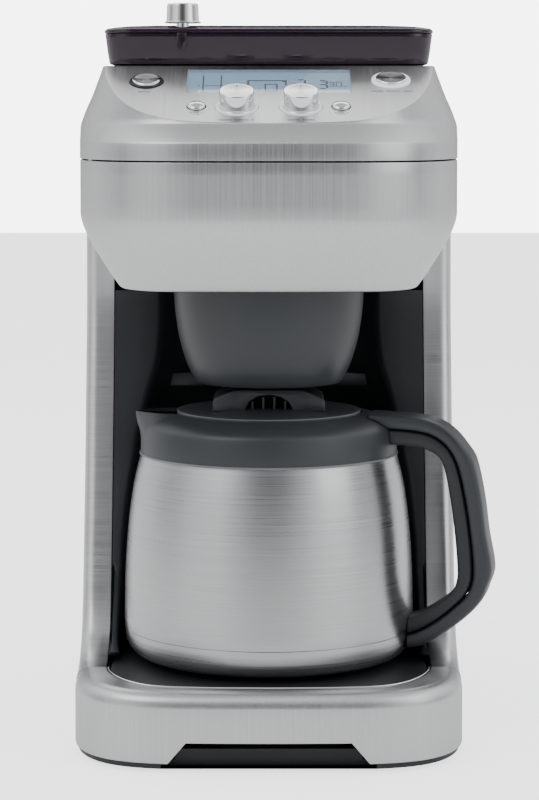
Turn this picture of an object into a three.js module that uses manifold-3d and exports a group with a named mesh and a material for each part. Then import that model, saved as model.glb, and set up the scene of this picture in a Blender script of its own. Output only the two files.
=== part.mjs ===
// Drip coffee maker with a built-in grinder, in millimetres, +Z up.
// The machine faces -Y and stands on z = 0. X = 0 is its middle plane while it is being built;
// the whole group is shifted at the end so that the origin lies under the middle of its box.
import * as THREE from 'three';
import { mergeVertices } from 'three/addons/utils/BufferGeometryUtils.js';
import Module from 'manifold-3d';

const wasm = await Module();
wasm.setup();

// ---------------------------------------------------------------- driving dimensions
const bodyHalf = 108;            // half width of base, column and head
const front = -159;              // front of the base
const back = 159;                // face of the rear cover
const gap = 0.3;                 // clearance between neighbouring pieces
const wall = 2.5;                // wall of the plastic and steel shells
const skirtFoot = 5;             // lower edge of the steel base
const deckTop = 43.5;            // top of the base, where the tray lies
const skirtBack = -93;           // where the base wrap meets the side panels
const bowlBottom = 256.4;        // lower edge of the brew head
const bowlCrease = 296;          // where the head starts to taper
const seam = 328;                // joint between the brew door and the top cover
const bandTop = 337;             // top of the vertical front band
const panelFront = [-140, 348.2];// front edge of the control panel (y, z)
const panelBack = [-70, 380.2];  // back edge of the control panel (y, z)
const topDeck = panelBack[1];    // level of the flat top behind the panel
const columnFront = -7;          // front of the column just under the head
const panelEnd = 145.7;          // rear edge of the side panels
const stripInner = 91;           // inner edge of the steel strips beside the niche
const brewAxis = [0, -55];       // axis of jug, funnel and filter (x, y)
const burrAxis = [0, 30];        // axis of the grinder (x, y)
const hingeAxis = [102, -47];    // axis of the brew door's hinge (x, y)
const doorBack = -43.7;          // rear edge of the brew door
const handleReach = 130;         // how far the jug's handle stands out from the jug's axis
const handleTurn = 12 * Math.PI / 180; // the handle is turned this far to the front
const hopperSize = { half: 91, front: -67, back: 66, floor: 381, rim: 398.6 };
const hopperKnobAt = [-49, -55]; // axis of the hopper's locking knob (x, y)

// ---------------------------------------------------------------- shape helpers
function solid(geometry) {
  const bare = geometry.clone();
  bare.deleteAttribute('normal');
  bare.deleteAttribute('uv');
  const merged = mergeVertices(bare, 1e-4);
  const mesh = new wasm.Mesh({
    numProp: 3,
    vertProperties: merged.attributes.position.array,
    triVerts: Uint32Array.from(merged.index.array),
  });
  return new wasm.Manifold(mesh);
}

function geometryOf(manifold) {
  const mesh = manifold.getMesh();
  const geometry = new THREE.BufferGeometry();
  geometry.setAttribute('position', new THREE.BufferAttribute(Float32Array.from(mesh.vertProperties), 3));
  geometry.setIndex(new THREE.BufferAttribute(Uint32Array.from(mesh.triVerts), 1));
  geometry.computeVertexNormals();
  return geometry;
}

function join(first, ...others) {
  return others.reduce((whole, next) => whole.add(next), first);
}

function cut(first, ...others) {
  return others.reduce((whole, next) => whole.subtract(next), first);
}

function extruded(points, depth) {
  const shape = new THREE.Shape(points.map(([x, y]) => new THREE.Vector2(x, y)));
  return new THREE.ExtrudeGeometry(shape, { depth, bevelEnabled: false });
}

// A plan outline (x, y) raised from z0 to z1.
function prism(points, z0, z1) {
  return solid(extruded(points, z1 - z0).translate(0, 0, z0));
}

// A side outline (y, z) drawn out from x0 to x1.
function sideways(points, x0, x1) {
  const basis = new THREE.Matrix4().makeBasis(
    new THREE.Vector3(0, 1, 0), new THREE.Vector3(0, 0, 1), new THREE.Vector3(1, 0, 0));
  return solid(extruded(points, x1 - x0).applyMatrix4(basis).translate(x0, 0, 0));
}

// A front outline (x, z) drawn out from y0 to y1.
function frontways(points, y0, y1) {
  return solid(extruded(points, y1 - y0).rotateX(Math.PI / 2).translate(0, y1, 0));
}

function box(x0, x1, y0, y1, z0, z1) {
  const geometry = new THREE.BoxGeometry(x1 - x0, y1 - y0, z1 - z0);
  return solid(geometry.translate((x0 + x1) / 2, (y0 + y1) / 2, (z0 + z1) / 2));
}

// A closed (radius, height) profile turned about a vertical axis through (x, y).
function turned(profile, [x, y] = [0, 0], segments = 28) {
  const points = profile.map(([r, z]) => new THREE.Vector2(r, z));
  if (THREE.ShapeUtils.area(points) < 0) {
    points.reverse();
  }
  points.push(points[0].clone());
  return solid(new THREE.LatheGeometry(points, segments).rotateX(Math.PI / 2).translate(x, y, 0));
}

function cylinder(radius, z0, z1, at = [0, 0], segments = 20) {
  return turned([[0, z0], [radius, z0], [radius, z1], [0, z1]], at, segments);
}

// A solid skinned over closed rings of equally many points, one above the next.
function loft(rings, project = ([x, y]) => new THREE.Vector2(x, y)) {
  const count = rings[0].length;
  const positions = rings.flat(2);
  const index = [];
  for (let level = 0; level + 1 < rings.length; level += 1) {
    for (let i = 0; i < count; i += 1) {
      const a = level * count + i;
      const b = level * count + (i + 1) % count;
      index.push(a, b, b + count, a, b + count, a + count);
    }
  }
  const last = (rings.length - 1) * count;
  for (const [a, b, c] of THREE.ShapeUtils.triangulateShape(rings[0].map(project), [])) {
    index.push(c, b, a);
  }
  for (const [a, b, c] of THREE.ShapeUtils.triangulateShape(rings.at(-1).map(project), [])) {
    index.push(last + a, last + b, last + c);
  }
  const geometry = new THREE.BufferGeometry();
  geometry.setAttribute('position', new THREE.BufferAttribute(Float32Array.from(positions), 3));
  geometry.setIndex(index);
  return solid(geometry);
}

// A chain of (x, y) points moved towards its middle by d, square to its own run. The distance may
// be a number or a function of the point's y.
function insetChain(chain, distance) {
  return chain.map(([x, y], i) => {
    const before = i > 0 ? chain[i - 1] : [-chain[1][0], chain[1][1]];
    const after = i + 1 < chain.length ? chain[i + 1] : [x, y + 1];
    const run = new THREE.Vector2(after[0] - before[0], after[1] - before[1]).normalize();
    const d = typeof distance === 'function' ? distance(y) : distance;
    return [x - run.y * d, y + run.x * d];
  });
}

// A whole ring at height z: the right-hand chain from the front middle, its mirror image, and a
// straight back edge at yBack.
function ring(chain, d, z, yBack, xBack = chain.at(-1)[0] - d, keepBelow = yBack - 0.5) {
  const right = insetChain(chain, d).filter((_, i) => chain[i][1] < keepBelow);
  right.push([xBack, yBack]);
  const left = right.slice(1).reverse().map(([x, y]) => [-x, y]);
  return [...right, ...left].map(([x, y]) => [x, y, z]);
}

function roundedBox(x0, x1, y0, y1, radius, steps = 5) {
  const points = [];
  const corners = [[x1, y0, -1], [x1, y1, 0], [x0, y1, 1], [x0, y0, 2]];
  for (const [cx, cy, quarter] of corners) {
    const midX = cx === x1 ? x1 - radius : x0 + radius;
    const midY = cy === y1 ? y1 - radius : y0 + radius;
    for (let i = 0; i <= steps; i += 1) {
      const angle = (quarter + i / steps) * Math.PI / 2;
      points.push([midX + radius * Math.cos(angle), midY + radius * Math.sin(angle)]);
    }
  }
  return points;
}

// A round bar along a smooth path.
function pipe(path, radius, steps, sides = 10) {
  const curve = new THREE.CatmullRomCurve3(path.map(([x, y, z]) => new THREE.Vector3(x, y, z)));
  const shape = new THREE.Shape();
  for (let i = 0; i < sides; i += 1) {
    const angle = 2 * Math.PI * i / sides;
    const point = [radius * Math.cos(angle), radius * Math.sin(angle)];
    if (i === 0) {
      shape.moveTo(...point);
    } else {
      shape.lineTo(...point);
    }
  }
  return solid(new THREE.ExtrudeGeometry(shape, { steps, bevelEnabled: false, extrudePath: curve }));
}

// ---------------------------------------------------------------- materials
function material(color, roughness, metalness, opacity = 1) {
  return new THREE.MeshStandardMaterial({ color, roughness, metalness, opacity, transparent: opacity < 1 });
}

const steel = material(0xb9bbbd, 0.32, 1);
const jugSteel = material(0xa9abae, 0.28, 1);
const chrome = material(0xe6e7e9, 0.08, 1);
const darkPlastic = material(0x34383b, 0.5, 0);
const blackPlastic = material(0x1c1e20, 0.55, 0);
const smokyPlastic = material(0x3b2a3e, 0.12, 0, 0.75);
const clearPlastic = material(0xdfe5e8, 0.15, 0, 0.35);
const whitePlastic = material(0xf4f5f6, 0.3, 0);
const lcdBlue = material(0x9fc4e4, 0.25, 0);
const boardGreen = material(0x2f6b45, 0.5, 0);
const rubber = material(0x202122, 0.85, 0);
const silicone = material(0xd9d6cf, 0.5, 0);
const aluminium = material(0x9a9c9f, 0.45, 1);
const zincSteel = material(0x85888b, 0.4, 1);

const machine = new THREE.Group();

function piece(name, manifold, look, parent = machine) {
  const mesh = new THREE.Mesh(geometryOf(manifold), look);
  mesh.name = name;
  parent.add(mesh);
  return mesh;
}

// ---------------------------------------------------------------- base
const basePlan = [[0, front], [30, -158.6], [57, -156.8], [74, -153], [87, -146.5],
  [97, -136.5], [104, -123], [107.3, -108], [bodyHalf, skirtBack]];
const trayPlan = [[0, -146], [35, -144.8], [62, -140.5], [75, -131], [84, -117], [89, -103], [90.5, -90]];

function baseWrap(inset, top, rounding) {
  const levels = [[0, skirtFoot], [0, top - 9.5], [0.8, top - 4.5], [3, top - 1.5], [rounding, top]];
  return loft(levels.map(([d, z]) => ring(basePlan, inset + d, z, skirtBack, bodyHalf - inset - d)));
}

function buildBase() {
  const inner = baseWrap(wall, deckTop - wall, 7).translate([0, 0, -0.01]);
  const openBack = box(-bodyHalf + wall, bodyHalf - wall, skirtBack - wall - 1, skirtBack + 1, 0, 36);
  const trayHole = loft([30, 60].map((z) => ring(trayPlan, -2 * gap, z, 0)));
  const mouth = frontways([[-57, 4], [57, 4], [44, 16.6], [-44, 16.6]], front - 5, -140);
  const below = box(-120, 120, -170, 0, 0, skirtFoot);
  piece('base_skirt', cut(baseWrap(0, deckTop, 7), inner, openBack, trayHole, mouth, below), steel);

  const floorPlan = [...basePlan.slice(0, -1), [106.5, skirtBack]];
  const plate = loft([1.8, skirtFoot - gap].map((z) => ring(floorPlan, 1.6, z, 156)));
  const notch = frontways([[-58, 0], [58, 0], [58, 6], [-58, 6]], -165, -147);
  const bar = box(-52, 52, -147, -141, 1.8, 11);
  piece('base_plate', join(cut(plate, notch), bar), blackPlastic);

  const feet = { left: -88, right: 88 };
  for (const [side, x] of Object.entries(feet)) {
    piece(`foot_front_${side}`, cylinder(9, 0, 1.5, [x, -122], 20), rubber);
    piece(`foot_rear_${side}`, cylinder(9, 0, 1.5, [x, 136], 20), rubber);
  }

  const trayFloor = loft([deckTop - 2.8, deckTop - 0.8].map((z) => ring(trayPlan, 1.6, z, 31)));
  piece('jug_tray', trayFloor, blackPlastic);
  const rimOuter = loft([deckTop - 3, deckTop + 0.4].map((z) => ring(trayPlan, 0, z, skirtBack)));
  const rimInner = loft([deckTop - 9, deckTop + 9].map((z) => ring(trayPlan, 1.3, z, skirtBack + 1)));
  piece('tray_rim', cut(rimOuter, rimInner), chrome);
}

// ---------------------------------------------------------------- column
// Front edge of the column seen from the side, from the base up to the head (y, z).
const columnCurve = [[skirtBack + gap, 39.6], [-80, 42.2], [-66, 47.5], [-56, 54], [-46, 74], [-38, 101],
  [-30, 129], [-23, 160], [-15, 200], [columnFront - 1, 235], [columnFront, 262]];

function sideProfile(d) {
  const edge = columnCurve.map(([y, z]) => [y + d * 0.85, z - (z < 56 ? d : 0.2 * d)]);
  return [[skirtBack + gap + d, skirtFoot], [panelEnd, skirtFoot], [panelEnd, seam - gap],
    [columnFront + d * 0.85, seam - gap], ...edge.reverse()];
}

function buildSidePanel(side) {
  const sections = [[stripInner, 0], [102, 0], [105.2, 1], [107.2, 3], [bodyHalf, 6]];
  const outer = loft(
    sections.map(([x, d]) => sideProfile(d).map(([y, z]) => [x, y, z])),
    ([, y, z]) => new THREE.Vector2(y, z));
  const hollow = sideways(sideProfile(wall), 0, bodyHalf - wall);
  const behind = box(0, bodyHalf - wall, 60, 170, 0, 400);
  const aboveStrip = box(0, bodyHalf - wall, -60, 60, 249, 400);
  const underStrip = box(0, bodyHalf - wall, -130, 60, 0, 36);
  const skin = cut(outer, hollow, behind, aboveStrip, underStrip);
  piece(`side_panel_${side}`, side === 'right' ? skin : skin.mirror([1, 0, 0]), steel);
}

// The recess for the jug and funnel is turned about the brew axis.
const recessProfile = [[0, deckTop + 0.2], [88.4, deckTop + 0.2], [88.5, 90], [88.5, 120], [87.3, 146],
  [83.8, 176], [81, 196], [79.2, 208], [79.4, 222], [81, 247], [81, 252], [0, 252]];

function buildLiner() {
  const linerBack = brewAxis[1] + 88.5 + wall;
  const edge = columnCurve.slice(2).map(([y, z]) => [y + 0.8, z]).filter(([, z]) => z < 240);
  const side = [[-64, 46], [linerBack, 46], [linerBack, 249], [columnFront, 249], ...edge.reverse()];
  const block = sideways(side, -stripInner + gap, stripInner - gap);
  const shellProfile = recessProfile.map(([r, z]) => [r === 0 ? 0 : r + wall, z]);
  const hollowSide = side.map(([y, z]) => [y + wall, z]);
  const hollow = cut(sideways(hollowSide, -89, 89), turned(shellProfile, brewAxis, 36));
  const recess = turned(recessProfile, brewAxis, 36);
  // A ledge across the back of the niche, with a nose that stands under the funnel.
  const ledgePlan = [[-61, -1], [-24, -1], [-17, -17], [17, -17], [24, -1], [61, -1], [61, 40], [-61, 40]];
  const ledge = prism(ledgePlan, 191.5, 199.5).intersect(
    turned([[0, 180], [88, 180], [88, 205], [0, 205]], brewAxis, 36));
  const body = join(cut(block, hollow, recess), ledge);
  const trim = box(-200, 200, -200, linerBack, 0, 400);
  piece('niche_liner', body.intersect(trim), darkPlastic);
}

function buildRear() {
  const plan = roundedBox(-bodyHalf + 0.5, bodyHalf - 0.5, 120, back, 14);
  const inside = roundedBox(-bodyHalf + 3, bodyHalf - 3, 110, back - wall, 12);
  const shell = cut(prism(plan, skirtFoot, seam - gap), prism(inside, 0, 400));
  const ahead = box(-200, 200, 0, panelEnd + gap, 0, 400);
  const inlet = cylinder(9, -20, 20, [0, 0], 24).rotate([90, 0, 0]).translate([-70, back, 30]);
  piece('rear_cover', cut(shell, ahead, inlet), darkPlastic);

  const gland = turned([[4, 0], [8.6, 0], [8.6, 7], [11.5, 7], [11.5, 10], [4, 10]], [0, 0], 24);
  const glandPlace = gland.rotate([90, 0, 0]).translate([-70, back - 0.2, 30]);
  const backWall = box(-90, -50, back - wall - gap, back, 15, 45);
  const neckOnly = cylinder(8.6, -20, 20).rotate([90, 0, 0]).translate([-70, back, 30]);
  piece('cord_gland', cut(glandPlace, cut(backWall, neckOnly)), blackPlastic);
}

// ---------------------------------------------------------------- brew head
const headPlan = [[0, -150], [26, -149.3], [50, -147], [67, -141], [80, -132], [91, -117],
  [98, -100], [103.5, -82], [106.6, -64], [bodyHalf, hingeAxis[1]]];
const bowlPlan = [[0, -132], [24, -131], [44, -129], [58, -126], [67, -120], [74, -112],
  [79, -103], [82.5, -90], [84.3, -75], [85.5, -58]];

const headEnd = 10;              // how far back the head's skins are drawn before they are trimmed

function headSolid(inset, top) {
  const levels = [[bowlBottom, 0], [263, 0.22], [270, 0.43], [283, 0.84], [bowlCrease, 1], [top, 1]];
  return loft(levels.map(([z, share]) => {
    const chain = bowlPlan.map(([x, y], i) => [
      x + (headPlan[i][0] - x) * share, y + (headPlan[i][1] - y) * share]);
    chain.push([stripInner + (bodyHalf - stripInner) * share, columnFront]);
    return ring(chain, inset, z, headEnd);
  }));
}

function between(manifold, y0, y1) {
  return manifold.intersect(box(-200, 200, y0, y1, 0, 500));
}

const lugLevel = [294.6, 297.4];   // the lug under the hinge knuckle

function buildHeadFrame() {
  const low = bowlBottom;
  const frameWall = 5.5;
  const outer = between(headSolid(0, seam - gap), doorBack + gap, columnFront - gap);
  const tie = between(headSolid(wall + gap, seam - gap), -12, 6);
  const hollow = between(headSolid(frameWall, seam + 5), -100, 3);
  const relief = cylinder(7.6, 268, 400, hingeAxis, 32);
  const body = cut(join(outer, tie), hollow.trimByPlane([0, 0, 1], low + 2));
  const funnelHole = cylinder(57, 200, 400, brewAxis, 30);
  const pinHole = cylinder(1.7, 200, 400, hingeAxis, 16);
  const lug = cylinder(3, lugLevel[0], lugLevel[1], hingeAxis, 24);
  const arm = join(
    box(hingeAxis[0] - 3, hingeAxis[0], hingeAxis[1], -33, lugLevel[0], lugLevel[1]),
    box(hingeAxis[0] - 1, hingeAxis[0] + 2, -39.2, -33, lugLevel[0], lugLevel[1]));
  piece('head_frame', cut(join(cut(body, relief), lug, arm), funnelHole, pinHole), darkPlastic);
}

function buildDoor() {
  const top = seam - 0.8;
  const knuckle = cylinder(6, lugLevel[1] + 0.6, top, hingeAxis, 32);
  const outer = between(headSolid(0, top), -200, doorBack);
  const behindHinge = box(hingeAxis[0] - 8, 200, hingeAxis[1], 0, 0, 400);
  const inside = join(headSolid(wall, top + 5), headSolid(wall, top + 5).translate([0, 0, -1]));
  const pinBore = cylinder(1.8, 200, 400, hingeAxis, 16);
  const shell = join(cut(outer, behindHinge, inside), knuckle);
  piece('door_shell', cut(shell, pinBore), steel);
  piece('hinge_pin', cylinder(1.4, lugLevel[0] + 0.2, seam - 0.4, hingeAxis, 16), zincSteel);

  // Funnel and the floor that closes the bottom of the brew head.
  const floor = between(headSolid(wall + gap, top), -200, doorBack - gap)
    .trimByPlane([0, 0, 1], bowlBottom + 0.3)
    .trimByPlane([0, 0, -1], -(bowlBottom + 2.6));
  const cup = turned([[0, 200.5], [41.2, 200.5], [43, 203], [47.2, 212], [51, 225], [53.4, 240],
    [54.4, 254], [54.4, 300], [0, 300]], brewAxis, 30);
  const cupInside = turned([[0, 204], [40.5, 204], [45, 213], [48.6, 226], [51.2, 241], [52.2, 255],
    [52.2, 310], [0, 310]], brewAxis, 30);
  const outlet = cylinder(7.5, 190, 210, brewAxis, 24);
  const clearHinge = cylinder(9, 200, 400, hingeAxis, 24);
  piece('filter_holder', cut(join(cut(floor, clearHinge), cup), cupInside, outlet), darkPlastic);

  piece('filter_basket', turned([[6, 209.5], [38, 209.5], [43, 214], [46.6, 227], [49.4, 242], [50.4, 256],
    [51, 312], [53.5, 312], [53.5, 314], [49.4, 314], [48.6, 256], [47.6, 242], [44.8, 228],
    [41.6, 216], [37, 211.3], [6, 211.3]], brewAxis, 24), darkPlastic);
  piece('mesh_filter', turned([[0, 214], [36, 214], [43.6, 229], [46.4, 243], [47.4, 257], [48.6, 314.4],
    [50.6, 314.4], [50.6, 315.4], [47.8, 315.4], [46.6, 257.2], [45.6, 243.2], [42.8, 229.4],
    [35.4, 214.8], [0, 214.8]], brewAxis, 24), aluminium);
  const bail = cut(turned([[44, 316.4], [49, 316.4], [49, 320], [44, 320]], brewAxis, 24),
    box(-80, 80, brewAxis[1] + 2, 80, 300, 340));
  piece('basket_handle', bail, blackPlastic);
  piece('drip_stop', turned([[0, 199.2], [6.6, 199.2], [6.6, 204.4], [11, 204.4], [11, 205.6], [2, 205.6],
    [2, 206], [0, 206]], brewAxis, 24), silicone);
  const coil = [];
  const coilTurns = 2;
  const coilSteps = 24;
  for (let i = 0; i <= coilSteps; i += 1) {
    const angle = 2 * Math.PI * coilTurns * i / coilSteps;
    coil.push([brewAxis[0] + 8.6 * Math.cos(angle), brewAxis[1] + 8.6 * Math.sin(angle), 206.3 + i * 0.11]);
  }
  piece('drip_spring', pipe(coil, 0.35, 32, 6), zincSteel);
}

// ---------------------------------------------------------------- top cover and control panel
const slope = Math.atan2(panelBack[1] - panelFront[1], panelBack[0] - panelFront[0]);

// Everything on the panel is built in its own frame: x across, y up the slope, z out of the panel.
const panel = new THREE.Group();
panel.position.set(0, ...panelFront);
panel.rotation.x = slope;
machine.add(panel);

const controls = {
  start: { at: [68, 57], ring: 10.8, cap: 8.6 },
  open: { at: [-68, 55], ring: 9.4, cap: 7.9 },
  small: { x: 39.4, y: 21.5, cap: 5 },
  dial: { x: 17.4, y: 21, ring: 11.8, cap: 9.4, height: 9.8 },
  lcd: { half: 45.2, y0: 40, y1: 71.5 },
};

function onPanel(manifold) {
  return manifold.rotate([slope * 180 / Math.PI, 0, 0]).translate([0, ...panelFront]);
}

// The cover leans in over a short bevel at the front and over a taller shoulder at the sides:
// each level gives its height, the lean of the front and the lean of the sides.
const coverLevels = [[seam, 0, 0], [bandTop, 0, 0], [346, 8, 0.4], [348.2, 10, 0.9], [354, 11.2, 3],
    [362, 12.4, 6.6],
  [371, 13.2, 10], [topDeck, 14, 13.4]];

function coverSolid(inset) {
  const rings = coverLevels.map(([z, frontLean, sideLean]) => {
    const lean = (y) => {
      const share = THREE.MathUtils.smoothstep(-y, 60, 142);
      return inset + frontLean * share + sideLean * (1 - share);
    };
    const chain = [...headPlan, [bodyHalf, 139], [bodyHalf - 2.7, 149], [bodyHalf - 10, 156.3]];
    return ring(chain, lean, z, back - inset - sideLean, bodyHalf - 20 - inset * 0.4 - sideLean * 0.4,
        back);
  });
  const frontDrop = 20;
  const slab = sideways([[panelFront[0] - frontDrop, seam], [back, seam], [back, topDeck - inset],
    [panelBack[0], topDeck - inset], [panelFront[0], panelFront[1] - inset * 1.1],
    [panelFront[0] - frontDrop, panelFront[1] - frontDrop * Math.tan(slope) - inset * 1.1]], -200, 200);
  return loft(rings).intersect(slab);
}

function buildTopCover() {
  const openings = [
    onPanel(cylinder(controls.start.ring + gap, -9, 9, controls.start.at, 32)),
    onPanel(cylinder(controls.open.ring + gap, -9, 9, controls.open.at, 32)),
    onPanel(box(-controls.lcd.half - gap, controls.lcd.half + gap,
      controls.lcd.y0 - gap, controls.lcd.y1 + gap, -9, 9)),
    cylinder(27, 360, 400, burrAxis, 28),
    prism(roundedBox(-82, 82, 74, 142, 10), 360, 400),
  ];
  for (const side of [-1, 1]) {
    const { x, y, ring: ringRadius } = controls.dial;
    openings.push(onPanel(cylinder(ringRadius + gap, -9, 9, [side * x, y], 32)));
    openings.push(onPanel(cylinder(controls.small.cap + 0.5, -9, 9, [side * controls.small.x,
        controls.small.y], 24)));
  }
  const skin = coverSolid(0);
  const hollow = coverSolid(wall).translate([0, 0, -0.02]);
  piece('head_top_cover', cut(skin, hollow, ...openings), steel);
}

function pressButton(name, [x, y], cap, rise, dome) {
  const profile = [[0, -8], [2.5, -8], [2.5, -4], [cap, -4], [cap, rise], [cap - 0.8, rise + dome * 0.5],
    [cap * 0.5, rise + dome], [0, rise + dome]];
  piece(name, turned(profile, [x, y], 24), chrome, panel);
}

function buildControls() {
  const { start, open, small, dial, lcd } = controls;
  const ringProfile = (inner, outer) => [[inner, -wall], [outer, -wall], [outer, 0.7], [inner, 0.7]];
  piece('start_ring', turned(ringProfile(start.cap + gap, start.ring), start.at, 28), whitePlastic, panel);
  piece('open_ring', turned(ringProfile(open.cap + gap, open.ring), open.at, 28), blackPlastic, panel);
  pressButton('start_button', start.at, start.cap, 1.6, 0.4);
  pressButton('open_button', open.at, open.cap, 1.6, 0.4);
  for (const [side, sign] of [['left', -1], ['right', 1]]) {
    const place = [sign * dial.x, dial.y];
    pressButton(`small_button_${side}`, [sign * small.x, small.y], small.cap, 0.6, 1.8);
    const cup = [[4, -wall], [dial.ring, -wall], [dial.ring, 0.6], [dial.cap + 0.5, 0.6],
      [dial.cap + 0.5, -1.4], [4, -1.4]];
    piece(`dial_ring_${side}`, turned(cup, place, 28), whitePlastic, panel);
    const knob = [[0, -8], [3, -8], [3, -1], [dial.cap, -1], [dial.cap, dial.height - 0.8],
      [dial.cap - 0.8, dial.height], [0, dial.height]];
    const mark = box(place[0] - 0.5, place[0] + 0.5, place[1] + 5.5, place[1] + 12, dial.height - 0.4,
        dial.height + 1);
    piece(`dial_knob_${side}`, cut(turned(knob, place, 28), mark), chrome, panel);
  }
  piece('lcd_window', box(-lcd.half, lcd.half, lcd.y0, lcd.y1, -2, -0.2), clearPlastic, panel);
  piece('lcd_panel', box(-lcd.half - 1.5, lcd.half + 1.5, lcd.y0 - 1.5, lcd.y1 + 1.5, -6.5,
      -wall - gap), lcdBlue, panel);
  piece('control_board', join(box(-60, 60, 12, 66, -12, -10.4), box(-77, 77, 46, 66, -12, -10.4)),
      boardGreen, panel);
  const latchPlan = box(-78, -70, -66, -60, seam + 0.6, 344);
  piece('door_latch', join(latchPlan, box(-78, -70, -66, -52, 340, 344)), zincSteel);
}

// ---------------------------------------------------------------- water side
function buildWaterSide() {
  const outer = prism(roundedBox(-97, 97, 68.5, 142, 12), 60, 350);
  const inner = prism(roundedBox(-95, 95, 70.5, 140, 10), 62, 380);
  const outlet = cylinder(5, 50, 70, [0, 100], 16);
  piece('water_tank', cut(outer, inner, outlet), clearPlastic);

  const lidTop = prism(roundedBox(-84, 84, 72, 144, 11), topDeck + gap, topDeck + 3.2);
  const lidPlug = prism(roundedBox(-80.5, 80.5, 75.5, 140.5, 9), topDeck - 3, topDeck + 1);
  const lidHollow = prism(roundedBox(-78.5, 78.5, 77.5, 138.5, 8), topDeck - 4, topDeck + 0.8);
  const pull = cylinder(60, -12, 12, [0, 0], 32).rotate([0, 90, 0]).translate([0, 76, topDeck + 62.2]);
  piece('tank_lid', cut(join(lidTop, lidPlug), lidHollow, pull), darkPlastic);

  piece('heater', pipe([[-52, 100, 20], [-52, 20, 20], [-48, -45, 20], [-30, -85, 20], [0, -98, 20],
      [30, -85, 20],
    [48, -45, 20], [52, 20, 20], [52, 100, 20]], 7, 24, 10), aluminium);
  piece('inlet_hose', pipe([[0, 100, 69], [0, 100, 45], [-10, 108, 24], [-40, 112, 20],
      [-52, 108, 20]], 4, 14, 8), silicone);
  piece('rise_hose', pipe([[52, 104, 20], [53, 112, 20], [66, 108, 30], [76, 60, 44], [76, 50, 70],
      [76, 50, 330], [70, 36, 346],
    [40, -14, 349], [16, -44, 349], [7, -52, 349]], 3.4, 44, 8), silicone);
  const spray = turned([[0, 331], [31, 331], [33, 333], [33, 337], [8, 340], [6, 346], [6, 354],
      [0, 354]], brewAxis, 20);
  const bore = turned([[0, 334], [28, 334], [28, 336], [4, 338.5], [3.6, 351], [0, 351]], brewAxis, 24);
  const entry = pipe([[12, -48, 349], [0, -55, 349]], 3.8, 2, 8);
  const jets = [];
  for (let i = 0; i < 8; i += 1) {
    const angle = i * Math.PI / 4;
    jets.push(cylinder(1.5, 320, 336, [20 * Math.cos(angle), brewAxis[1] + 20 * Math.sin(angle)], 8));
  }
  piece('spray_head', cut(spray, bore, entry, ...jets), darkPlastic);

  const board = box(-101, -99.4, 10, 56, 268, 322);
  const parts = [[14, 24, 274, 290, 12], [30, 50, 274, 286, 9], [16, 30, 298, 316, 7],
      [38, 52, 296, 312, 14]];
  const blocks = parts.map(([y0, y1, z0, z1, high]) => box(-99.6, -99.4 + high, y0, y1, z0, z1));
  piece('power_board', join(board, ...blocks), boardGreen);
}

// ---------------------------------------------------------------- grinder
function buildGrinder() {
  const [, ay] = burrAxis;
  piece('grinder_motor', turned([[0, 262], [19, 262], [22, 265], [22, 314], [19, 317], [8, 317],
      [8, 320], [0, 320]],
    [0, ay + 2], 28), zincSteel);
  piece('gearbox', cut(prism(roundedBox(-30, 30, ay - 22, ay + 28, 8), 321, 334),
      cylinder(4.6, 326, 340, burrAxis, 20)),
    darkPlastic);
  const carrier = turned([[6, 336], [36, 336], [36, 373], [30, 373], [30, 339], [6, 339]], burrAxis, 24);
  const exit = box(-8, 8, -20, ay, 340, 348);
  piece('burr_carrier', cut(carrier, exit), darkPlastic);
  piece('ring_burr', turned([[20, 350], [29.6, 350], [29.6, 364], [26, 366], [17, 366],
      [17, 362]], burrAxis, 24), zincSteel);
  const cone = [[0, 328], [4, 328], [4, 341], [18, 341], [18.6, 351], [15, 361], [8, 366], [0, 369]];
  piece('cone_burr', turned(cone, burrAxis, 24), zincSteel);
  const chuteSide = [[-8, 350], [-27, 335], [-27, 330.5], [-12, 330.5], [-7, 338]];
  const chuteHole = [[-3, 347.5], [-24.5, 332.5], [-24.5, 320], [-14, 320], [-14, 332], [-3, 340.5]];
  const chute = cut(sideways(chuteSide, -10, 10), sideways(chuteHole, -8, 8));
  piece('grind_chute', cut(chute, cylinder(36.4, 300, 400, burrAxis, 24),
      cylinder(33.5, 300, 400, brewAxis, 36)), blackPlastic);
}

// ---------------------------------------------------------------- bean hopper
function hopperOutline(half, grow) {
  return roundedBox(-half - grow, half + grow, hopperSize.front - grow, hopperSize.back + grow, 14 + grow);
}

function raised(outline, z) {
  return outline.map(([x, y]) => [x, y, z]);
}

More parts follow.
